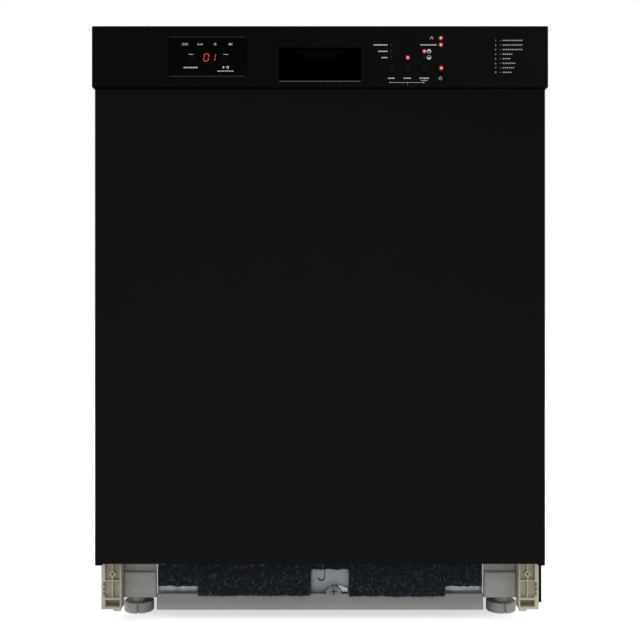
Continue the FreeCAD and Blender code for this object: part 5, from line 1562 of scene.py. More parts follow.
def joined_pieces(pieces: Sequence[Object], name: str) -> Object:
    """Several meshes of one finish made into one piece.

    Args:
        pieces: the pieces, which are taken away.
        name: the new piece's name.

    Returns:
        The new piece.
    """
    build = bmesh.new()
    for piece in pieces:
        build.from_mesh(piece.data)
        bpy.data.objects.remove(piece)
    return ended(build, name)


@dataclass
class ControlPanel:
    """The fascia with its display, lamps, keys, handle pocket and print.

    Attributes:
        window_sink: how far the display window lies behind the fascia's face.
        lit: X and drop of the lit lamps.
        unlit: X and drop of the dark lamps.
        lamp_radius: the lenses' radius.
        lens_rise: how far a lens stands in front of the fascia.
        print_rise: how far the flat lamp on the last key stands in front of it.
        keys: X places of the four round keys.
        key_drop: how far their middles lie under the fascia's top.
        painted_highlight_bands: width and arc of each band of painted highlight on a key's upper edge.
        digit_size: width and height of a lit digit.
        digit_drop: how far a digit's top lies under the fascia's top.
        digit_slant: how far it leans to the right for each millimetre up.
        stroke_width: the width of its strokes.
        stroke_gap: how far each stroke's tip stays off the corner.
        program_drops: first and last drop of the list of programs.
        bar_ends: where each program's bar ends in X.
    """

    window_sink: float = 1.2
    lit: tuple[Pair, ...] = ((158.2, 16.0), (158.2, 24.8), (136.7, 33.3), (115.0, 41.6))
    unlit: tuple[Pair, ...] = ((93.5, 24.8), (93.5, 33.0), (93.5, 40.9), (136.7, 40.9))
    lamp_radius: float = 1.7
    lens_rise: float = 0.55
    print_rise: float = 0.03
    keys: tuple[float, ...] = (93.8, 114.8, 136.8, 158.6)
    key_drop: float = 55.6
    painted_highlight_bands: tuple[tuple[float, Pair], ...] = ((0.5, (56.0, 118.0)), (0.9, (64.0, 110.0)),
                                                   (1.3, (72.0, 102.0)))
    digit_size: Pair = (6.6, 10.2)
    digit_drop: float = 36.0
    digit_slant: float = 0.17
    stroke_width: float = 0.85
    stroke_gap: float = 0.35
    program_drops: Pair = (19.1, 60.9)
    bar_ends: tuple[float, ...] = (265.7, 265.7, 265.7, 252.7, 249.8, 256.4, 254.9, 251.2)

    def build(self) -> None:
        """Makes and dresses the whole control panel."""
        eased_nodes({"control_panel": (Palette.fascia, 0.25), "display_window": (Palette.window, 0.3),
                     "handle_pocket": (Palette.pocket, 0.6), "pull_lever": (Palette.lever, 0.8),
                     "panel_chassis": (Palette.tray, 0.3)})
        self.buttons()
        self.lamps()
        self.digits()
        self.window_print()
        self.key_print()
        self.programs()
        self.painted_edge_highlights()
        self.works()

    def buttons(self) -> None:
        """Dresses the round keys, each with a painted highlight along its upper edge."""
        for node in ("display_button_1", "display_button_2", *(f"panel_button_{i}" for i in range(1, 5))):
            shown = node.startswith("display")
            eased_node(node, Palette.display_key if shown else Palette.key, 0.3)
            box = extent(node)
            radius = (box.right - box.left) / 2
            outer = radius - 0.6
            glint = Shape()
            finish = Palette.glint if shown else Palette.faint_painted_highlight
            # painted highlight: bright rings along each key's upper edge
            for width, arc in self.painted_highlight_bands:
                glint.ring((box.middle[0], box.top - radius), (outer - width, outer),
                           (box.near - 0.04, box.near + 0.3), arc, 18)
            finished(glint.piece(f"{node}_glint"), finish, node)

    def lamps(self) -> None:
        """Makes the round lamp lenses, four of them lit, and the lit dot on the last key."""
        shown, dark, power = Shape(), Shape(), Shape()
        for places, shape in ((self.lit, shown), (self.unlit, dark)):
            for place in places:
                self.dome(shape, place, 0.0, self.lens_rise)
        lit = finished(shown.piece("lamps_lit"), Palette.lamp, "door")
        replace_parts(lit, "lamp_lenses")
        finished(dark.piece("lamps_dark"), Palette.unlit, "door")
        key = "panel_button_4"
        face = extent(key).near
        place = (self.keys[3], self.key_drop)
        self.dome(power, place, face, self.print_rise)
        finished(power.piece("power_lamp"), Palette.lamp, key)
        self.glow("lamps", self.lit, 0.0, self.lens_rise, "door")
        self.glow("power_lamp", (place,), face, self.print_rise, key)

    def glow(self, name: str, places: tuple[Pair, ...], face: float, rise: float, body: str) -> None:
        """Adds the pale core of each lit lamp and a glowing ring round it on the fascia, painted light spill.

        Args:
            name: how the two pieces' names start.
            places: X and drop of each lamp.
            face: the depth of the surface that the lamps stand in.
            rise: how far the lenses stand in front of it.
            body: the body that they ride on.
        """
        core, painted_spill = Shape(), Shape()
        for x, drop in places:
            z = FASCIA_TOP - drop
            core.turned(at(x, face, z), -BACK,
                        ((1.15, 0.3 * rise), (1.15, rise), (0.7, 1.15 * rise), (0.0, 1.25 * rise)), 18)
            # painted light spill: a glowing ring on the fascia round the lens
            painted_spill.ring((x, z), (self.lamp_radius, 2.9), (face - 0.02, face + 0.02), ROUND, 28)
        finished(core.piece(f"{name}_core"), Palette.lamp_core, body)
        finished(painted_spill.piece(f"{name}_halo"), Palette.lamp_painted_spill, body)

    def dome(self, shape: Shape, place: Pair, face: float, rise: float) -> None:
        """Adds one lens with a rounded front.

        Args:
            shape: the shape that it goes into.
            place: its X, and how far its middle lies under the fascia's top.
            face: the depth of the surface that it stands in.
            rise: how far it stands in front of that surface.
        """
        radius = self.lamp_radius
        shape.turned(at(place[0], face, FASCIA_TOP - place[1]), -BACK,
                     ((radius, -1.2), (radius, 0.1 * rise), (radius * 0.8, 0.65 * rise),
                      (radius * 0.4, 0.9 * rise), (0.0, rise)), 20)

    def digits(self) -> None:
        """Makes the two lit digits, 01, from slanted strokes."""
        shape = Shape()
        for strokes, left in (("abcdef", -153.2), ("bc", -144.4)):
            for stroke in strokes:
                self.stroke(shape, stroke, left)
        finished(shape.piece("display_digits"), Palette.digit, "door")

    def stroke(self, shape: Shape, which: str, left: float) -> None:
        """Adds one of a digit's strokes.

        Args:
            shape: the shape that it goes into.
            which: its letter, from a at the top clockwise.
            left: the digit's left edge.
        """
        wide, high = self.digit_size
        thick = self.stroke_width
        ends = {"a": ((0, 1), (1, 1)), "b": ((1, 1), (1, 0.5)), "c": ((1, 0.5), (1, 0)),
                "d": ((0, 0), (1, 0)), "e": ((0, 0.5), (0, 0)), "f": ((0, 1), (0, 0.5))}
        base = FASCIA_TOP - self.digit_drop - high
        points = []
        for u, v in ends[which]:
            x = left + thick / 2 + u * (wide - thick)
            z = base + thick / 2 + v * (high - thick)
            points.append(Vector((x + (z - base) * self.digit_slant, z)))
        along = (points[1] - points[0]).normalized()
        side = Vector((-along.y, along.x)) * thick / 2
        a, b = points[0] + along * self.stroke_gap, points[1] - along * self.stroke_gap
        inner = along * thick / 2
        outline = [a, a + inner - side, b - inner - side, b, b - inner + side, a + inner + side]
        front = self.window_sink - 0.08
        shape.prism([tuple(point) for point in outline], (front, front + PRINT_DEPTH))

    def window_print(self) -> None:
        """Prints the stage pictograms and the marks under the two display keys."""
        ink = Print(self.window_sink)
        ink.waves(-176.8, 23.8)
        ink.drops(-157.1, 23.8)
        ink.sun(-137.5, 23.8)
        ink.square(-117.5, 23.8)
        ink.bar((-178.6, -159.8), 54.3, 1.7)
        play = FASCIA_TOP - 54.0
        ink.shape.prism([(-127.6, play - 1.7), (-124.4, play), (-127.6, play + 1.7)], ink.layer)
        for x in (-122.4, -120.6):
            ink.shape.slab((x, x + 1.0), ink.layer, (play - 1.7, play + 1.7))
        ink.bar((-134.4, -112.8), 58.9, 1.3)
        ink.done("window_marks", Palette.ink)

    def key_print(self) -> None:
        """Prints the marks beside the lamps and under the keys."""
        ink = Print()
        for left, drop in ((70.4, 25.0), (76.2, 33.4), (80.6, 41.6)):
            ink.bar((left, 89.0), drop)
        ink.ring(146.2, 16.3, 2.0, 0.45, (-60.0, 240.0))
        ink.line((146.2, 13.6), (146.2, 16.2), 0.45)
        ink.bar((131.5, 153.2), 25.0)
        for drop, arc in ((33.3, (0.0, 180.0)), (41.5, (180.0, 360.0))):
            ink.ring(142.7, drop, 2.9, 0.5)
            ink.dot(142.7, drop, 2.6, arc)
        for x, half in zip(self.keys, (4.6, 5.0, 6.4)):
            ink.bar((x - half, x + half), 68.6, 1.5)
        ink.bar((132.4, 141.2), 71.6, 0.9)
        power = self.keys[3] - 1.0
        ink.ring(power, 68.9, 2.1, 0.5, (120.0, 420.0))
        ink.line((power, 65.9), (power, 68.6), 0.5)
        ink.line((92.6, 74.2), (135.2, 74.2), 0.35)
        ink.arrow(92.6, 74.2, -1)
        ink.arrow(135.2, 74.2, 1)
        ink.line((self.keys[1], 75.6), (self.keys[1], 77.4), 0.35)
        ink.done("key_marks", Palette.ink)

    def programs(self) -> None:
        """Prints the list of programs: a numeral, a dash and a bar for each."""
        first, last = self.program_drops
        ink = Print()
        signs = []
        for i, end in enumerate(self.bar_ends):
            drop = first + (last - first) * i / (len(self.bar_ends) - 1)
            z = FASCIA_TOP - drop
            signs.append(numeral(str(i + 1), at(229.0, -PRINT_LIFT, z), 2.6))
            ink.shape.slab((235.4, 236.9), ink.layer, (z - 0.18, z + 0.18))
            ink.bar((239.1, end), drop, 1.3)
        ink.done("program_bars", Palette.faint_ink)
        finished(joined_pieces(signs, "program_numerals"), Palette.faint_ink, "door")

    def painted_edge_highlights(self) -> None:
        """Lays thin slabs of painted highlight on the pocket's lip, inside the pocket and on the window's
        edges.
        """
        pocket, window = extent("handle_pocket"), extent("display_window")
        inset = 2.8
        wide = (pocket.left + inset, pocket.right - inset)
        rear = pocket.far - inset
        shelf = pocket.middle[1]
        glass = (window.left + 3.6, window.right - 4.6)
        # painted highlights: thin bright slabs standing in for light caught by the pocket's lip, its ridge
        # and the window's edges
        rows = (("pocket_lip", wide, (-0.12, 0.5), (pocket.foot + 2.0, pocket.foot + 2.9), 0.1, Palette.lip),
                ("pocket_ridge", wide, (rear - 0.8, rear), (shelf + 1.6, shelf + 2.8), 0.3,
                 Palette.faint_painted_highlight),
                ("window_edge_low", glass, (-0.06, 0.3), (window.foot + 2.0, window.foot + 2.8), 0.1,
                 Palette.window_painted_highlight),
                ("window_edge_high", glass, (-0.06, 0.3), (window.top - 3.0, window.top - 2.2), 0.1,
                 Palette.faint_painted_highlight))
        for name, x, depth, z, ease, finish in rows:
            finished(Shape().slab(x, depth, z).piece(name, ease), finish, "door")

    def works(self) -> None:
        """Dresses the boards and adds the chips, relays and plugs on them."""
        dressed("control_electronics", Palette.board)
        dressed("lamp_lenses", Palette.unlit)
        board = extent("control_electronics")
        scatter = random.Random(4)
        parts = Shape()
        for _ in range(34):
            x = scatter.uniform(70.0, board.right - 12.0)
            z = scatter.uniform(board.foot + 8.0, board.top - 8.0)
            wide, tall, deep = (scatter.choice((3.0, 5.0, 9.0)) for _ in range(3))
            parts.slab((x, x + wide), (board.far - 0.4, board.far + deep * 0.35), (z, z + tall * 0.7))
        finished(parts.piece("board_chips", 0.2), Palette.chip, "door")


# ---- Door ----


@dataclass
class Door:
    """The coated outer door, the stainless inner door and what the inner door carries."""

    def build(self) -> None:
        """Dresses the door's outside and inside."""
        eased_node("door_outer_panel", Palette.door, 0.35, 50.0)
        eased_nodes({"door_inner_panel": (Palette.stainless_up, 0.5), "door_insulation": (Palette.felt, 0.8),
                     "hinge_arms": (Palette.zinc, 0.3), "latch_hook": (Palette.zinc, 0.2),
                     "detergent_dispenser": (Palette.grey, 0.5), "detergent_lid": (Palette.grey, 0.6),
                     "rinse_aid_cap": (Palette.grey, 0.5)})
        self.embossing()
        self.screws()
        self.marks()

    def embossing(self) -> None:
        """Presses a raised frame and two bands into the inner door."""
        panel = extent("door_inner_panel")
        x, foot, top = panel.right - 34.0, panel.foot + 40.0, panel.top - 62.0
        layer = (panel.far - 0.5, panel.far + 0.9)
        shape = Shape().pair((x, x - 9.0), layer, (foot, top))
        for z in (foot, top - 9.0):
            shape.slab((-x, x), layer, (z, z + 9.0))
        for z in (foot + 90.0, foot + 130.0):
            shape.slab((-x + 40.0, x - 40.0), layer, (z, z + 12.0))
        finished(shape.piece("inner_door_ribs", 0.5), Palette.stainless_up, "door")

    def screws(self) -> None:
        """Adds the cross-head screws round the inner door's edge, each with a black cross of painted shade in
        its recess.
        """
        panel = extent("door_inner_panel")
        face = panel.far
        heads, slots = Shape(), Shape()
        for z in (panel.foot + 45.0, 300.0, 480.0, 650.0, panel.top - 20.0):
            for x in (4.0 - panel.right, panel.right - 4.0):
                heads.turned(at(x, face - 0.2, z), BACK,
                             ((3.4, 0.0), (3.4, 0.6), (2.6, 1.2), (0.0, 1.4)), 20)
                for wide, tall in ((1.6, 0.35), (0.35, 1.6)):
                    slots.slab((x - wide, x + wide), (face + 1.0, face + 1.24), (z - tall, z + tall))
        finished(heads.piece("inner_door_screws"), Palette.screw, "door")
        # painted shade: a black cross in each head stands in for the shade in its recess
        finished(slots.piece("inner_door_screw_slots"), Palette.black, "door")

    def marks(self) -> None:
        """Adds the arrow on the rinse-aid cap and the level window beside it."""
        cap = extent("rinse_aid_cap")
        x, z = cap.middle
        layer = (cap.far - 0.2, cap.far + 0.25)
        arrow = Shape().slab((x - 11.0, x - 3.5), layer, (z + 6.0, z + 7.4))
        arrow.prism([(x - 11.0, z + 4.6), (x - 11.0, z + 8.8), (x - 14.0, z + 6.7)], layer)
        finished(arrow.piece("cap_arrow"), Palette.white, "rinse_aid_cap")
        flange = extent("detergent_dispenser").far
        window = Shape().turned(at(x - 34.0, flange - 0.5, z + 22.0), BACK,
                                ((5.0, 0.0), (5.0, 0.5), (4.4, 0.8), (0.0, 1.0)), 28)
        finished(window.piece("level_window"), Palette.chip, "door")


# ---- Base ----


@dataclass
class BaseFront:
    """The foot of the machine: brackets, leg boxes, rail, cross plate, fibre mats, side strip and feet.

    Attributes:
        cell: the fibre mats' cell size in millimetres.
        seed: the seed of the loose fibres.
        runs: X places and lower edge of each stretch where a mat bulges forward.
        bulge_top: the height of the bulge's top.
        lip_depth: how thick the torn edge is where it hangs over the rail.
        swing: the depth that the mats keep clear of above the bulge, for the door.
        fibre_length: the longest loose fibre.
        fibre_droop: how far a loose fibre's tip hangs down.
        feet: the nodes of the three feet.
    """

    cell: float = 1.5
    seed: int = 11
    runs: tuple[tuple[float, float, float], ...] = ((-220.8, -167.0, 47.2), (-167.0, -13.0, 34.8),
                                                    (40.5, 171.5, 34.2), (171.5, 220.8, 47.2))
    bulge_top: float = 79.0
    lip_depth: float = 3.4
    swing: float = 61.2
    fibre_length: float = 8.5
    fibre_droop: float = 1.8
    feet: tuple[str, ...] = ("front_left_foot", "front_right_foot", "rear_foot")

    def build(self) -> None:
        """Makes and dresses the whole base."""
        eased_nodes({"front_brackets": (Palette.beige, 0.2), "leg_housings": (Palette.grey_moulding, 0.9),
                     "front_rail": (Palette.rail, 0.5), "cross_plate": (Palette.plate, 0.15),
                     "base_screws": (Palette.screw, 0.25), "right_side_strip": (Palette.strip, 0.5)})
        eased_nodes({foot: (Palette.foot, 1.1) for foot in self.feet})
        self.threads()
        eased_node("base_tray", Palette.tray, 0.6)
        self.plate_folds()
        self.screw_recess_shade()
        self.mats()

    def plate_folds(self) -> None:
        """Adds the plate's folds: an edge and a strip beside each leg box, and the gusset at the screw, in a
        lighter zinc that paints light on them; the strips are thin sheets of painted light just in front of
        the plate.
        """
        plate = extent("cross_plate")
        outer = plate.right - 0.1
        foot, front = extent("fibre_mats").foot, extent("leg_housings").near
        folds = Shape()
        # the edge and gusset are real folds; their lighter zinc, and the thin strips laid just in front of
        # the plate, are painted light
        folds.pair((outer - 1.8, outer), (front + 3.8, plate.near - 0.3), (foot + 0.4, 80.0))
        folds.pair((167.5, outer - 2.2), (plate.near - 0.6, plate.near - 0.1), (foot + 0.4, 47.8))
        finished(folds.piece("plate_folds", 0.3), Palette.painted_light_zinc, "cabinet")
        screw = extent("base_screws").right
        gusset = Shape().prism([(screw - 0.3, foot + 10.2), (screw + 6.2, foot + 0.6),
                                (screw + 14.1, foot + 0.6), (screw + 14.1, foot + 5.9)],
                               (66.0, plate.near - 0.2))
        finished(gusset.piece("rail_gusset", 0.4), Palette.painted_light_zinc, "cabinet")

    def screw_recess_shade(self) -> None:
        """Paints shade into the cross recess of the rail screw's head with a black cross just inside its
        face.
        """
        screw = extent("base_screws")
        x, z = screw.middle
        cross = Shape()
        for wide, tall in ((3.9, 0.85), (0.85, 3.9)):
            cross.slab((x - wide, x + wide), (screw.near + 0.9, screw.near + 1.28), (z - tall, z + tall))
        # painted shade: the black cross stands in for the shade in the screw's recess
        finished(cross.piece("rail_screw_cross"), Palette.black, "cabinet")

    def threads(self) -> None:
        """Adds the thread's crests to each foot's stem, below the tray."""
        tray = extent("base_tray").foot
        for foot in self.feet:
            box = extent(foot)
            shape = Shape()
            for i in range(4):
                z = 16.5 + i * 3.0
                if z + 1.4 < tray:
                    shape.turned(at(box.middle[0], (box.near + box.far) / 2, z), UP,
                                 ((8.6, 0.0), (9.3, 0.5), (9.3, 0.9), (8.6, 1.4)), 28)
            finished(shape.piece(f"{foot}_thread"), Palette.foot, foot)

    def mats(self) -> None:
        """Makes the torn fibre mats, a ragged lip over the rail, and the loose fibres."""
        box, rail_face = extent("fibre_mats"), extent("front_rail").near
        lip = Shape()
        for left, right, edge in self.runs:
            lip.slab((left, right), (rail_face - 0.6, box.far - 1.5), (max(edge, box.foot), self.bulge_top))
            if edge < box.foot:
                lip.slab((left, right), (rail_face - self.lip_depth, rail_face - 0.1), (edge, box.foot + 3.0))
        core = ended(opened(frame["nodes"]["fibre_mats"].data), "mat_core")
        piece = joined_pieces([core, lip.piece("mat_lip")], "fibre_mats_loose")
        remesh = piece.modifiers.new("cells", "REMESH")
        remesh.mode = "VOXEL"
        remesh.voxel_size = self.cell * MM
        settled(piece)
        self.ruffle(piece, rail_face, box.far)
        smoothed(piece, ALL_ROUND)
        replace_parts(finished(piece, Palette.mat, "cabinet"), "fibre_mats")
        self.fibres(piece)

    def ruffle(self, piece: Object, rail_face: float, back: float) -> None:
        """Roughens a mat, leaving its rear flat.

        Args:
            piece: the mats.
            rail_face: the depth of the rail's face.
            back: the depth of the mats' rear.
        """
        limit = FACE_Y + (back - 0.2) * MM
        front = FACE_Y + (rail_face - self.lip_depth - 0.4) * MM
        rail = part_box("front_rail")
        for vertex in piece.data.vertices:
            place = vertex.co.copy()
            if place.y > FACE_Y + (back - 1.5) * MM:
                continue
            clump = noise.noise(place * 95.0) * 1.3 + noise.noise(place * 310.0) * 0.7
            wisp = noise.noise(Vector((place.x * 520.0, place.y * 300.0, place.z * 90.0))) * 0.7
            moved = place + vertex.normal * (clump + wisp) * MM
            near = front if moved.z < self.bulge_top * MM else max(front, FACE_Y + self.swing * MM)
            moved.y = max(near, min(limit, moved.y))
            moved.x = max(CAD_BOX[0].x, min(CAD_BOX[1].x, moved.x))
            over_rail = moved.y > rail[0].y - 0.0003 and place.y <= rail[0].y
            if over_rail and moved.z < rail[1].z:
                moved.y = rail[0].y - 0.0003
            vertex.co = moved

    def fibres(self, mat: Object) -> None:
        """Grows loose fibres on the fronts of the mats.

        Args:
            mat: the mats.
        """
        build = opened(mat.data)
        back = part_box("fibre_mats")[1].y - 0.003
        gone = [face for face in build.faces if face.normal.y > -0.35 or face.calc_center_median().y > back]
        bmesh.ops.delete(build, geom=gone, context="FACES")
        front = bpy.data.meshes.new("mat_front")
        build.to_mesh(front)
        build.free()
        for name, density, radius, finish in (("mat_fibres", 90000.0, 0.00012, Palette.strand),
                                              ("mat_pale_fibres", 26000.0, 0.00017, Palette.pale_strand)):
            piece = Rules.fibre.grow(linked(name, front.copy()), {
                "Density": density, "Seed": self.seed + len(name), "Length": self.fibre_length * MM,
                "Radius": radius, "Droop": -self.fibre_droop * MM, "Finish": finish.material()})
            self.keep_inside(piece)
            finished(smoothed(outward(piece), ALL_ROUND), finish, "cabinet")

    def keep_inside(self, piece: Object) -> None:
        """Keeps the loose fibres between the door and the plate, and off the rail.

        Args:
            piece: the loose fibres.
        """
        mat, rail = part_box("fibre_mats"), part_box("front_rail")
        for vertex in piece.data.vertices:
            place = vertex.co
            place.y = min(place.y, mat[1].y - 0.0005)
            if place.z > self.bulge_top * MM:
                place.y = max(place.y, FACE_Y + self.swing * MM)
            if place.z < rail[1].z and place.y > rail[0].y - 0.0002:
                place.y = rail[0].y - 0.0002 - (place.y - rail[0].y) * 0.05
            place.y = max(place.y, rail[0].y - 0.0055)
            place.z = min(max(place.z, rail[0].z + 0.004), mat[1].z)


# ---- Tub ----


@dataclass
class Tub:
    """The stainless tub, its front frame and seal, the sump with its filter, the heater and the sprays.

    Attributes:
        hub_depth: the depth of the sprays' axis.
        hole_pitch: the gap between two of the filter plate's holes.
        lower_nozzles: X places of the lower arm's jets.
        upper_nozzles: X places of the upper arm's jets.
    """

    hub_depth: float = 310.0
    hole_pitch: float = 5.0
    lower_nozzles: tuple[float, ...] = (-182.0, -150.0, -118.0, -84.0, -52.0,
                                        46.0, 80.0, 112.0, 146.0, 178.0)
    upper_nozzles: tuple[float, ...] = (-176.0, -140.0, -104.0, -66.0, 60.0, 98.0, 136.0, 172.0)

    def build(self) -> None:
        """Makes and dresses the wet parts that are seen with the door open."""
        eased_nodes({"tub": (Palette.stainless_up, 0.25), "tub_front_frame": (Palette.stainless_across, 0.4),
                     "door_gasket": (Palette.rubber, 0.9), "sump": (Palette.grey, 0.8),
                     "filter_plate": (Palette.stainless_across, 0.2), "filter_cylinder": (Palette.grey, 0.6),
                     "heater": (Palette.heater, 0.3), "feed_tube": (Palette.grey, 0.5),
                     "rack_manifold": (Palette.grey, 0.5), "lower_spray_arm": (Palette.grey, 0.8),
                     "upper_spray_arm": (Palette.grey, 0.8)})
        self.perforations()
        self.jets("lower_spray_arm", self.lower_nozzles)
        self.jets("upper_spray_arm", self.upper_nozzles)
        self.embossing()
        self.gasket_ribs()

    def perforations(self) -> None:
        """Lays the filter plate's fine holes out as a grid of dark discs: painted shade in place of open
        holes.
        """
        plate = extent("filter_plate")
        hole = Shape().turned(Vector(), UP, ((1.2, 0.0), (1.2, 0.04), (0.0, 0.02)), 10).piece("hole_seed")
        span = (plate.right - plate.left - 8.0, plate.far - plate.near - 8.0)
        count = (round(span[0] / self.hole_pitch), round(span[1] / self.hole_pitch))
        centre = at(plate.middle[0], (plate.near + plate.far) / 2, plate.top + 0.02)
        repeated("filter_holes", hole, count, span, centre, Palette.black, "cabinet", Vector())

    def jets(self, arm: str, places: tuple[float, ...]) -> None:
        """Adds the jets on top of a spray arm: a raised collar and a dark hole each.

        Args:
            arm: the arm's node, which is its body too.
            places: the jets' X places in millimetres.
        """
        box = extent(arm)
        wing_top = box.foot + 11.5 if arm.startswith("lower") else box.top
        collars, holes = Shape(), Shape()
        for i, x in enumerate(places):
            place = at(x, self.hub_depth + (5.0 if i % 2 else -5.0), wing_top)
            collars.turned(place, UP,
                           ((3.6, -0.3), (3.2, 0.35), (2.2, 0.45), (2.0, 0.1), (0.0, 0.1)), 20)
            holes.turned(place, UP, ((1.5, 0.0), (1.5, 0.14), (0.0, 0.12)), 14)
        finished(collars.piece(f"{arm}_collars"), Palette.grey, arm)
        # painted shade: a dark disc stands in for each open jet hole
        finished(holes.piece(f"{arm}_holes"), Palette.black, arm)

    def embossing(self) -> None:
        """Presses long stiffening ribs into the tub's side walls and rear."""
        tub = extent("tub")
        inner, rear = tub.right - 0.8, tub.far - 0.8
        ribs = Shape()
        for z in (230.0, 345.0, 655.0):
            ribs.pair((inner + 0.1, inner - 0.7), (112.0, 500.0), (z - 5.0, z + 5.0))
        for x in (-190.0, -110.0, 110.0, 190.0):
            ribs.slab((x - 5.0, x + 5.0), (rear - 0.7, rear + 0.1), (185.0, 700.0))
        finished(ribs.piece("tub_ribs", 0.35), Palette.stainless_up, "cabinet")

    def gasket_ribs(self) -> None:
        """Adds the thin sealing lip that runs round the seal."""
        seal = extent("door_gasket")
        layer = (seal.near, seal.near + 0.9)
        inner = seal.right - 3.5
        lip = Shape().pair((inner - 1.0, inner + 1.0), layer, (seal.foot + 2.0, seal.top - 3.0))
        lip.slab((-inner, inner), layer, (seal.top - 4.5, seal.top - 2.5))
        finished(lip.piece("gasket_lip", 0.3), Palette.rubber, "cabinet")


# ---- Racks ----


def spaced(start: float, end: float, pitch: float) -> list[float]:
    """Even places from start to end, no further apart than the pitch."""
    count = max(1, math.ceil((end - start) / pitch))
    return [start + (end - start) * step / count for step in range(count + 1)]


@dataclass(frozen=True)
class WireRack:
    """One wire rack: coated round wires that follow its box.

    Attributes:
        node: the CAD node and the body that it rides on.
        half: half its width in millimetres.
        front: the depth of its front.
        rear: the depth of its rear.
        floor: the height of its floor wires' underside.
        rim: the height of its rim's top.
        slope: how far its front leans.
        pitch_x: the greatest gap between wires across.
        pitch_d: the greatest gap between wires from front to rear.
        wire: the wires' thickness.
    """

    node: str
    half: float
    front: float
    rear: float
    floor: float
    rim: float
    slope: float
    pitch_x: float
    pitch_d: float
    wire: float = 4.0

    def loop(self, front: float, z: float) -> list[Vector]:
        """A closed loop with its start in the middle of the rear.

        Args:
            front: the depth of the loop's front.
            z: its height.

        Returns:
            The loop's points.
        """
        inset = self.wire / 2
        side, rear, near = self.half - inset, self.rear - inset, front + inset
        corners = ((0, rear), (side, rear), (side, near), (-side, near), (-side, rear), (0, rear))
        return [at(x, depth, z) for x, depth in corners]

    def frame_lines(self) -> list[list[Vector]]:
        """The rim and the floor's edge.

        Returns:
            The two loops.
        """
        inset = self.wire / 2
        return [self.loop(self.front, self.rim - inset),
                self.loop(self.front + self.slope, self.floor + inset)]

    def hoop_lines(self) -> list[list[Vector]]:
        """The wires that go down one wall, under the floor and up the other.

        Returns:
            Each wire's points.
        """
        inset = self.wire / 2
        low, high = self.floor + inset, self.rim - inset
        lines = []
        for x in spaced(-self.half, self.half - self.wire, self.pitch_x):
            middle = x + inset
            foot = self.front + self.slope + inset
            lines.append([at(middle, self.front + inset, high), at(middle, foot, low),
                          at(middle, self.rear - inset, low), at(middle, self.rear - inset, high)])
        for depth in spaced(self.front + self.slope, self.rear - self.wire, self.pitch_d):
            middle = depth + inset
            edge = self.half - inset
            lines.append([at(-edge, middle, high), at(-edge, middle, low), at(edge, middle, low),
                          at(edge, middle, high)])
        return lines


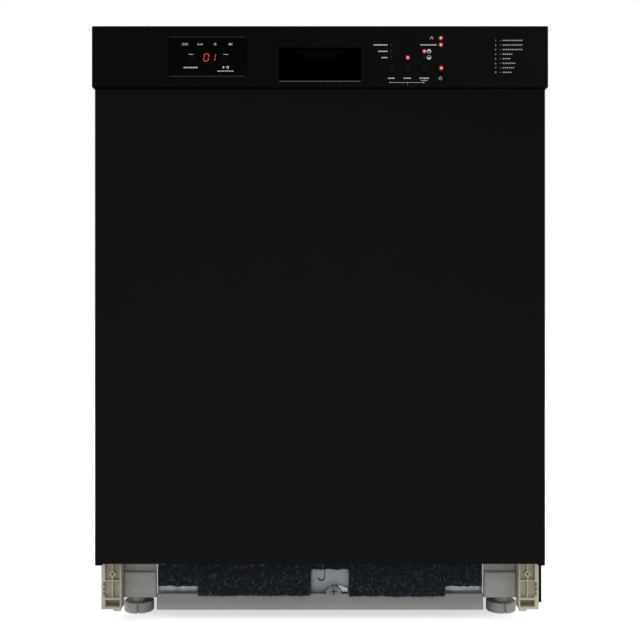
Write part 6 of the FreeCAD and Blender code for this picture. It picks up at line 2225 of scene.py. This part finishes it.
@dataclass
class Racks:
    """Both racks with their wheels, rails, tines and the cutlery basket.

    Attributes:
        lower: the lower rack's wires.
        upper: the upper rack's wires.
        tine_rows: X of the lower rack's plate tines.
        tine_height: their height over the floor wires.
        tine_pitch: the gap between two tines.
        wheel_depths: the depths of the wheels' axles.
        wheel_height: the height of the axles.
    """

    lower: WireRack = WireRack("lower_rack", 250.0, 83.0, 506.0, 172.0, 300.0, 26.0, 62.0, 66.0)
    upper: WireRack = WireRack("upper_rack", 252.0, 88.0, 500.0, 474.0, 596.0, 12.0, 50.0, 68.0)
    tine_rows: Pair = (-150.0, -40.0)
    tine_height: float = 62.0
    tine_pitch: float = 33.0
    wheel_depths: Pair = (218.0, 452.0)
    wheel_height: float = 147.3

    def build(self) -> None:
        """Makes and dresses both racks."""
        self.lower_rack()
        self.upper_rack()
        self.basket()
        eased_nodes({"front_wheels": (Palette.grey, 0.7), "rear_wheels": (Palette.grey, 0.7),
                     "middle_rails": (Palette.bright_rail, 0.25), "fixed_rails": (Palette.bright_rail, 0.25)})

    def lower_rack(self) -> None:
        """Makes the lower rack: heavy frame wires, lighter cross wires, tines, hangers and axles."""
        tines = self.tines()
        self.wirework(self.lower, tines)
        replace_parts(self.hangers(), self.lower.node)
        caps = Shape()
        for line in tines:
            for tip in (line[0], line[-1]):
                caps.turned(tip, UP,
                            ((0.0, -1.0), (1.7, -0.9), (1.7, 0.0), (1.0, 0.9), (0.0, 1.0)), 12)
        finished(caps.piece("tine_tips"), Palette.grey, self.lower.node)

    def wirework(self, rack: WireRack, tines: list[list[Vector]]) -> None:
        """Makes a rack's heavy frame wires and its lighter cross wires.

        Args:
            rack: the rack.
            tines: the tines' lines, which go with the lighter wires.
        """
        for name, lines, radius, bend, sides in (("frame", rack.frame_lines(), 2.0, 14.0, 12),
                                                 ("wires", rack.hoop_lines() + tines, 1.6, 5.0, 10)):
            piece = wires(f"{rack.node}_{name}", lines, radius, Palette.wire, rack.node, bend, sides)
            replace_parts(piece, rack.node)

    def tines(self) -> list[list[Vector]]:
        """Pairs of tines, each pair one bent wire.

        Returns:
            Each wire's points.
        """
        rack = self.lower
        inset = rack.wire / 2
        lines = []
        start = rack.front + rack.slope + self.tine_pitch
        places = spaced(start, rack.rear - self.tine_pitch, self.tine_pitch)
        for x in self.tine_rows:
            middle = x + inset
            top = rack.floor + self.tine_height - 1.2
            low = rack.floor + inset - 1.0
            for first, second in zip(places[::2], places[1::2]):
                lines.append([at(middle, first + inset, top), at(middle, first + inset, low),
                              at(middle, second + inset, low), at(middle, second + inset, top)])
            lines.append([at(middle, rack.front + rack.slope + 2.0, low), at(middle, rack.rear - 2.0, low)])
        return lines

    def hangers(self) -> Object:
        """Makes the moulded wheel hangers, their cross bars and the axles.

        Returns:
            The piece.
        """
        rack = self.lower
        shape = Shape()
        near, plate, far = 237.2, 242.2, 253.8
        reach = far - near
        for depth in self.wheel_depths:
            shape.pair((near, plate), (depth - 9.0, depth + 9.0), (self.wheel_height - 6.0, rack.floor + 4.0))
            for edge in (depth - 7.0, depth + 7.0):
                shape.pair((rack.half - 60.0, rack.half - 1.2), (edge - 1.8, edge + 1.8),
                           (rack.floor - 0.9, rack.floor + 2.9))
            for side in (-1, 1):
                shape.turned(at(side * near, depth, self.wheel_height), Vector((side, 0, 0)),
                             ((4.0, 0.0), (4.0, reach), (6.4, reach), (6.4, reach + 1.0),
                              (5.6, reach + 1.45), (0.0, reach + 1.5)), 28)
        return finished(shape.piece("wheel_hangers", 0.5), Palette.grey, rack.node)

    def upper_rack(self) -> None:
        """Makes the upper rack: heavy frame wires, lighter cross wires and the runner plates."""
        rack = self.upper
        self.wirework(rack, [])
        runners = Shape().pair((rack.half, rack.half + 3.5), (92.0, rack.rear), (512.0, 548.0))
        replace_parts(finished(runners.piece("runner_plates", 0.8), Palette.grey, rack.node), rack.node)

    def basket(self) -> None:
        """Makes the cutlery basket as a moulded lattice with a divider."""
        box = extent("cutlery_basket")
        wall, pitch = 2.0, 9.0
        across, deep = (box.left, box.right), (box.near, box.far)
        upright, bottom = (box.foot, box.top), (box.foot, box.foot + wall)
        faces = ((box.near, box.near + wall), (box.far - wall, box.far))
        middle = box.middle[0]
        columns = [(x, x + wall) for x in spaced(box.left, box.right - wall, pitch)]
        bands = ((box.foot, 6.0), (box.foot + 38.0, 3.0), (box.foot + 76.0, 3.0), (box.top - 6.0, 6.0))
        shape = Shape()
        for band, tall in bands:
            for depth in faces:
                shape.slab(across, depth, (band, band + tall))
            for x in (columns[0], (middle - wall, middle + wall), columns[-1]):
                shape.slab(x, deep, (band, band + tall))
        for x in columns:
            for depth in faces:
                shape.slab(x, depth, upright)
        for near in spaced(box.near, box.far - wall, pitch):
            for x in (columns[0], (middle - wall / 2, middle + wall / 2), columns[-1]):
                shape.slab(x, (near, near + wall), upright)
            shape.slab(across, (near, near + wall), bottom)
        for x in columns:
            shape.slab(x, deep, bottom)
        piece = finished(shape.piece("cutlery_lattice", 0.3), Palette.grey, "lower_rack")
        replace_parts(piece, "cutlery_basket")


# ---- Carcass and works ----


@dataclass
class Carcass:
    """The side sheets, rear cover, blanket, hinge plates, springs and top tabs."""

    def build(self) -> None:
        """Makes and dresses the outer shell."""
        eased_nodes({"side_panels": (Palette.zinc, 0.2), "rear_cover": (Palette.zinc, 0.2),
                     "tub_insulation": (Palette.felt, 1.5), "hinge_brackets": (Palette.zinc, 0.3),
                     "top_fixing_brackets": (Palette.zinc, 0.3)})
        dressed("door_springs", Palette.spring)
        self.side_swages()
        self.screws()
        self.vents()

    def side_swages(self) -> None:
        """Presses long swages into the side sheets."""
        sheet = extent("side_panels")
        shape = Shape()
        for z in (190.0, 390.0, 590.0, 740.0):
            shape.pair((sheet.right - 0.1, sheet.right + 1.2), (sheet.near + 70.0, sheet.far - 50.0),
                       (z - 9.0, z + 9.0))
        finished(shape.piece("side_swages", 0.9), Palette.zinc, "cabinet")

    def screws(self) -> None:
        """Adds the sheet-metal screws along the rear flange of each side."""
        sheet = extent("side_panels")
        shape = Shape()
        for z in spaced(130.0, 780.0, 170.0):
            for side in (-1, 1):
                shape.turned(at(side * (sheet.right - 0.2), sheet.far - 14.0, z), Vector((side, 0, 0)),
                             ((4.2, 0.0), (4.2, 0.9), (3.4, 1.7), (0.0, 2.0)), 20)
        finished(shape.piece("side_screws"), Palette.screw, "cabinet")

    def vents(self) -> None:
        """Lays flat dark slots out over the rear cover's face: painted shadow in place of louvres."""
        slot = Shape().slab((-24.0, 24.0), (-0.02, 0.0), (-1.6, 1.6)).piece("vent_seed")
        slot.data.transform(Matrix.Translation(Vector((0.0, -FACE_Y, 0.0))))
        repeated("rear_vents", slot, (5, 7), (320.0, 60.0), at(0.0, extent("rear_cover").far + 0.02, 200.0),
                 Palette.black, "cabinet")


@dataclass
class Works:
    """The pumps, water valve and mains terminal box under the tub."""

    def build(self) -> None:
        """Makes and dresses the works."""
        eased_nodes({"circulation_pump": (Palette.black, 0.6), "drain_pump": (Palette.black, 0.6),
                     "inlet_valve": (Palette.white, 0.6), "terminal_box": (Palette.black, 0.6)})
        self.pump_bands()
        self.thread()

    def pump_bands(self) -> None:
        """Adds cooling bands round the circulation pump."""
        pump = extent("circulation_pump")
        radius = (pump.far - pump.near) / 2
        ring = ((radius - 0.6, 0.0), (radius + 0.8, 0.6), (radius + 0.8, 3.4), (radius - 0.6, 4.0))
        shape = Shape()
        for i in range(6):
            place = at(pump.left + 16.0 + i * 13.0, (pump.near + pump.far) / 2, pump.middle[1])
            shape.turned(place, Vector((1, 0, 0)), ring, 40)
        finished(shape.piece("pump_bands"), Palette.tray, "cabinet")

    def thread(self) -> None:
        """Adds the crests of the water spigot's thread."""
        end = extent("inlet_valve").far
        shape = Shape()
        for i in range(5):
            shape.turned(at(-215.0, end - 2.4 - i * 2.3, 64.0), -BACK,
                         ((12.4, 0.0), (13.18, 0.5), (13.18, 0.9), (12.4, 1.4)), 32)
        finished(shape.piece("spigot_thread"), Palette.white, "cabinet")


MAKERS = (Studio(), ControlPanel(), Door(), BaseFront(), Tub(), Racks(), Carcass(), Works())


# ---- Making it all ----


def main() -> None:
    """Builds the studio and every sub-assembly in order, and reports each piece."""
    logging.basicConfig(level=logging.INFO, format="%(message)s")
    bpy.context.scene.view_settings.view_transform = "Standard"
    for maker in MAKERS:
        maker.build()
        LOG.info("built %s", type(maker).__name__)
    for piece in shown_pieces():
        LOG.info("piece %s", piece.name)


if __name__ == "__main__":
    main()
